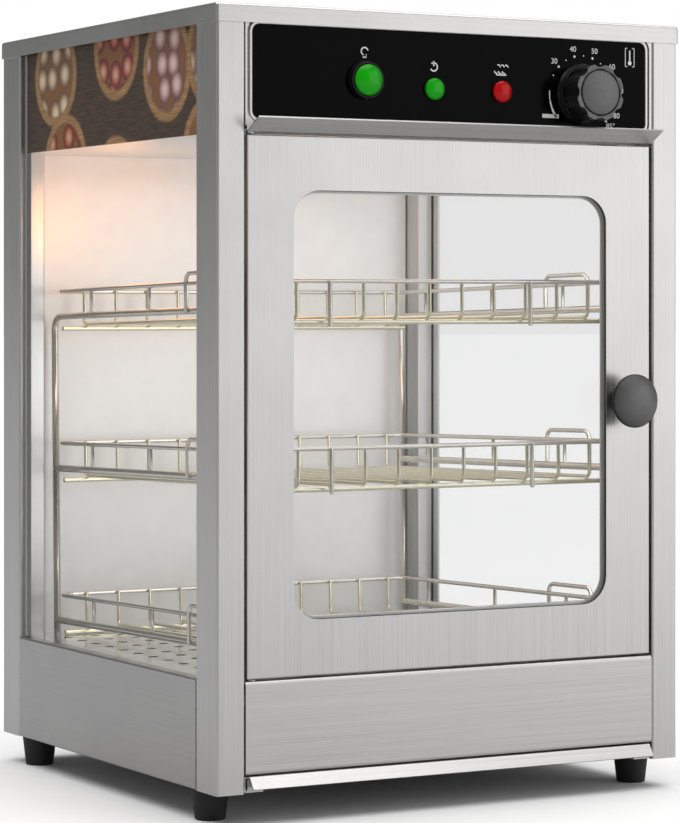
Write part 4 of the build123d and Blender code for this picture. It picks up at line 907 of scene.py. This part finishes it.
class CASE_OT_lamp(bpy.types.Operator):
    """Dresses the cabinet lamp under the ceiling"""

    bl_idname = "display_case.lamp"
    bl_label = "Cabinet lamp"

    def execute(self, context):
        amber = ((0.95, 0.80, 0.55, 1.0), (1.0, 0.9, 0.7, 1.0))
        opal = ((0.9, 0.9, 0.9, 1.0), (1.0, 1.0, 1.0, 1.0))
        cover = glowing_glass("lamp_cover_glass", 1.6, 400.0, amber, Alpha=0.55, Roughness=0.25)
        bulb = glowing_glass("lamp_bulb_glass", 6.0, 200.0, opal, Roughness=0.3)
        ring = satin_steel("lamp_ring_steel", (0.7, 0.7, 0.7), 1.0, 0.28)
        socket = moulded_plastic("glazed_ceramic", (0.75, 0.73, 0.68), 0.3)
        smoothed("lamp_cover", cover, turned_angle)
        smoothed("lamp_bulb", bulb, turned_angle)
        smoothed("lamp_housing", ring, turned_angle)
        smoothed("lamp_socket", socket, turned_angle)
        return {"FINISHED"}


class CASE_OT_inner(bpy.types.Operator):
    """Dresses the heater, the thermostat, the wiring and the fasteners"""

    bl_idname = "display_case.inner"
    bl_label = "Inner works"

    def execute(self, context):
        zinc = satin_steel("zinc_plated_works", (0.60, 0.61, 0.63), 1.0, 0.34)
        for node in ("case_screws", "thermostat", "thermostat_shaft", "sensor_clips"):
            smoothed(node, zinc)
        for node in ("heater_hanger", "foot_screws"):
            smoothed(node, zinc)
        heated = satin_steel("heat_tinted_steel", (0.26, 0.22, 0.20), 1.0, 0.4)
        copper = satin_steel("copper_tube", (0.72, 0.36, 0.22), 1.0, 0.3)
        ceramic = moulded_plastic("block_ceramic", (0.75, 0.73, 0.68), 0.35)
        sleeve = moulded_plastic("lead_sleeve", (0.62, 0.60, 0.55), 0.7, 1500.0, 0.1)
        gland = moulded_plastic("gland_plastic", (0.02, 0.02, 0.02), 0.45)
        smoothed("heating_element", heated, wire_angle)
        smoothed("capillary", copper, wire_angle)
        smoothed("terminal_block", ceramic)
        smoothed("wiring", sleeve, wire_angle)
        smoothed("cord_gland", gland)
        return {"FINISHED"}


class CASE_OT_feet(bpy.types.Operator):
    """Dresses the four rubber feet"""

    bl_idname = "display_case.feet"
    bl_label = "Feet"

    def execute(self, context):
        rubber = moulded_plastic("foot_rubber", (0.010, 0.010, 0.011), 0.58, 1200.0, 0.08)
        smoothed("feet", rubber, foot_angle)
        return {"FINISHED"}


# Studio

floor_size = 60.0
seen_tones = ((0.96, 0.96, 0.96, 1.0), (0.98, 0.98, 0.98, 1.0))
cast_tones = ((0.55, 0.55, 0.56, 1.0), (0.57, 0.57, 0.58, 1.0))
sky_white = (1.0, 1.0, 1.0, 1.0)
overhead_angle = 80.0
lamp_place = (-0.125, 0.10, 0.39)
lamp_radius = 0.03
front_place = (2.15, -2.25, 0.95)
front_target = (0.0, 0.0, 0.3)
front_size = (3.0, 3.0)
inside_place = (0.0, 0.0, 0.425)
inside_target = (0.0, 0.0, 0.1)
inside_size = (0.24, 0.24)
inside_tone = (1.0, 0.94, 0.87)
fill_place = (0.05, -0.12, 0.26)
fill_target = (0.05, 0.2, 0.26)
fill_size = (0.26, 0.28)
camera_place = (-1.04835, -1.88785, 0.32759)
camera_turn = -29.1
camera_lens = 134.5
camera_shift = -0.1262


def put(name, data, place):
    """Sets a light or a camera in the scene."""
    holder = bpy.data.objects.new(name, data)
    holder.location = place
    bpy.context.scene.collection.objects.link(holder)
    return holder


def soft_light(name, place, target, size, power, tone=(1.0, 1.0, 1.0)):
    """A large soft light that looks at its target."""
    lamp = bpy.data.lights.new(name, "AREA")
    lamp.shape = "RECTANGLE"
    lamp.size, lamp.size_y = size
    lamp.energy = power
    lamp.color = tone
    aim = Vector(target) - Vector(place)
    put(name, lamp, place).rotation_euler = aim.to_track_quat("-Z", "Y").to_euler()


def overhead_light():
    """A wide soft light from above."""
    lamp = bpy.data.lights.new("overhead_light", "SUN")
    lamp.energy = studio().overhead_strength
    lamp.angle = radians(overhead_angle)
    put("overhead_light", lamp, (0.0, 0.0, 3.0))


def lamp_glow():
    """The warm light of the cabinet lamp in the rear left corner."""
    lamp = bpy.data.lights.new("lamp_glow", "POINT")
    lamp.energy = studio().glow_power
    lamp.color = look().glow_tone
    lamp.shadow_soft_size = lamp_radius
    put("lamp_glow", lamp, lamp_place)


def studio_floor():
    """A pale floor that looks white and casts a softer light back up."""
    bpy.ops.object.select_all(action="DESELECT")
    bpy.ops.mesh.primitive_plane_add(size=floor_size, location=(0.0, 0.0, 0.0))
    floor = bpy.context.object
    floor.name = "studio_floor"
    paint = new_material("studio_floor_paint", Roughness=0.7, Specular_IOR_Level=0.2)
    speckle = even_grain(paint, 30.0)
    seen = shade_between(paint, speckle, noise_low, noise_high, *seen_tones)
    cast = shade_between(paint, speckle, noise_low, noise_high, *cast_tones)
    ray = add_node(paint, "ShaderNodeLightPath")
    tone = over(paint, ray.outputs["Is Camera Ray"], cast, seen)
    link(paint, tone, shader_of(paint).inputs["Base Color"])
    floor.data.materials.append(paint)


def studio_sky():
    """A white background that lights the case only faintly."""
    world = bpy.data.worlds.new("studio")
    world.use_nodes = True
    sky = world.node_tree
    around = sky.nodes["Background"]
    around.inputs["Color"].default_value = sky_white
    around.inputs["Strength"].default_value = studio().sky_strength
    backdrop = sky.nodes.new("ShaderNodeBackground")
    backdrop.inputs["Color"].default_value = sky_white
    path = sky.nodes.new("ShaderNodeLightPath")
    either = sky.nodes.new("ShaderNodeMixShader")
    sky.links.new(path.outputs["Is Camera Ray"], either.inputs[0])
    sky.links.new(around.outputs["Background"], either.inputs[1])
    sky.links.new(backdrop.outputs["Background"], either.inputs[2])
    sky.links.new(either.outputs["Shader"], sky.nodes["World Output"].inputs["Surface"])
    bpy.context.scene.world = world
    bpy.context.scene.view_settings.view_transform = "Standard"


def studio_camera():
    """A level camera at the front left."""
    lens = bpy.data.cameras.new("studio_camera")
    lens.lens = camera_lens
    lens.sensor_width = 36.0
    lens.shift_y = camera_shift
    lens.clip_start = 0.1
    camera = put("studio_camera", lens, camera_place)
    camera.rotation_euler = (radians(90.0), 0.0, radians(camera_turn))
    bpy.context.scene.camera = camera


class CASE_OT_stage(bpy.types.Operator):
    """Sets the floor, the studio light and the camera"""

    bl_idname = "display_case.stage"
    bl_label = "Stage"

    def execute(self, context):
        studio_floor()
        studio_sky()
        overhead_light()
        power = studio()
        soft_light("front_light", front_place, front_target, front_size, power.front_power)
        soft_light(
            "inside_light",
            inside_place,
            inside_target,
            inside_size,
            power.inside_power,
            inside_tone,
        )
        soft_light("fill_light", fill_place, fill_target, fill_size, power.fill_power)
        lamp_glow()
        studio_camera()
        return {"FINISHED"}


class CASE_PT_panel(bpy.types.Panel):
    """The display case's pieces and settings in the sidebar"""

    bl_label = "Display case"
    bl_space_type = "VIEW_3D"
    bl_region_type = "UI"
    bl_category = "Display case"

    def draw(self, context):
        for name in CaseLook.__annotations__:
            self.layout.prop(look(), name)
        for name in StudioLook.__annotations__:
            self.layout.prop(studio(), name)
        for operator in piece_operators:
            self.layout.operator(operator.bl_idname)


piece_operators = (
    CASE_OT_sheets,
    CASE_OT_liners,
    CASE_OT_glazing,
    CASE_OT_door,
    CASE_OT_controls,
    CASE_OT_print,
    CASE_OT_rack,
    CASE_OT_lamp,
    CASE_OT_inner,
    CASE_OT_feet,
    CASE_OT_stage,
)
classes = (CaseLook, StudioLook, *piece_operators, CASE_PT_panel)


def register():
    for each in classes:
        bpy.utils.register_class(each)
    bpy.types.Scene.case_look = bpy.props.PointerProperty(type=CaseLook)
    bpy.types.Scene.studio_look = bpy.props.PointerProperty(type=StudioLook)


def unregister():
    del bpy.types.Scene.studio_look
    del bpy.types.Scene.case_look
    for each in reversed(classes):
        bpy.utils.unregister_class(each)


def main():
    register()
    for operator in piece_operators:
        group, name = operator.bl_idname.split(".")
        getattr(getattr(bpy.ops, group), name)()


if __name__ == "__main__":
    main()
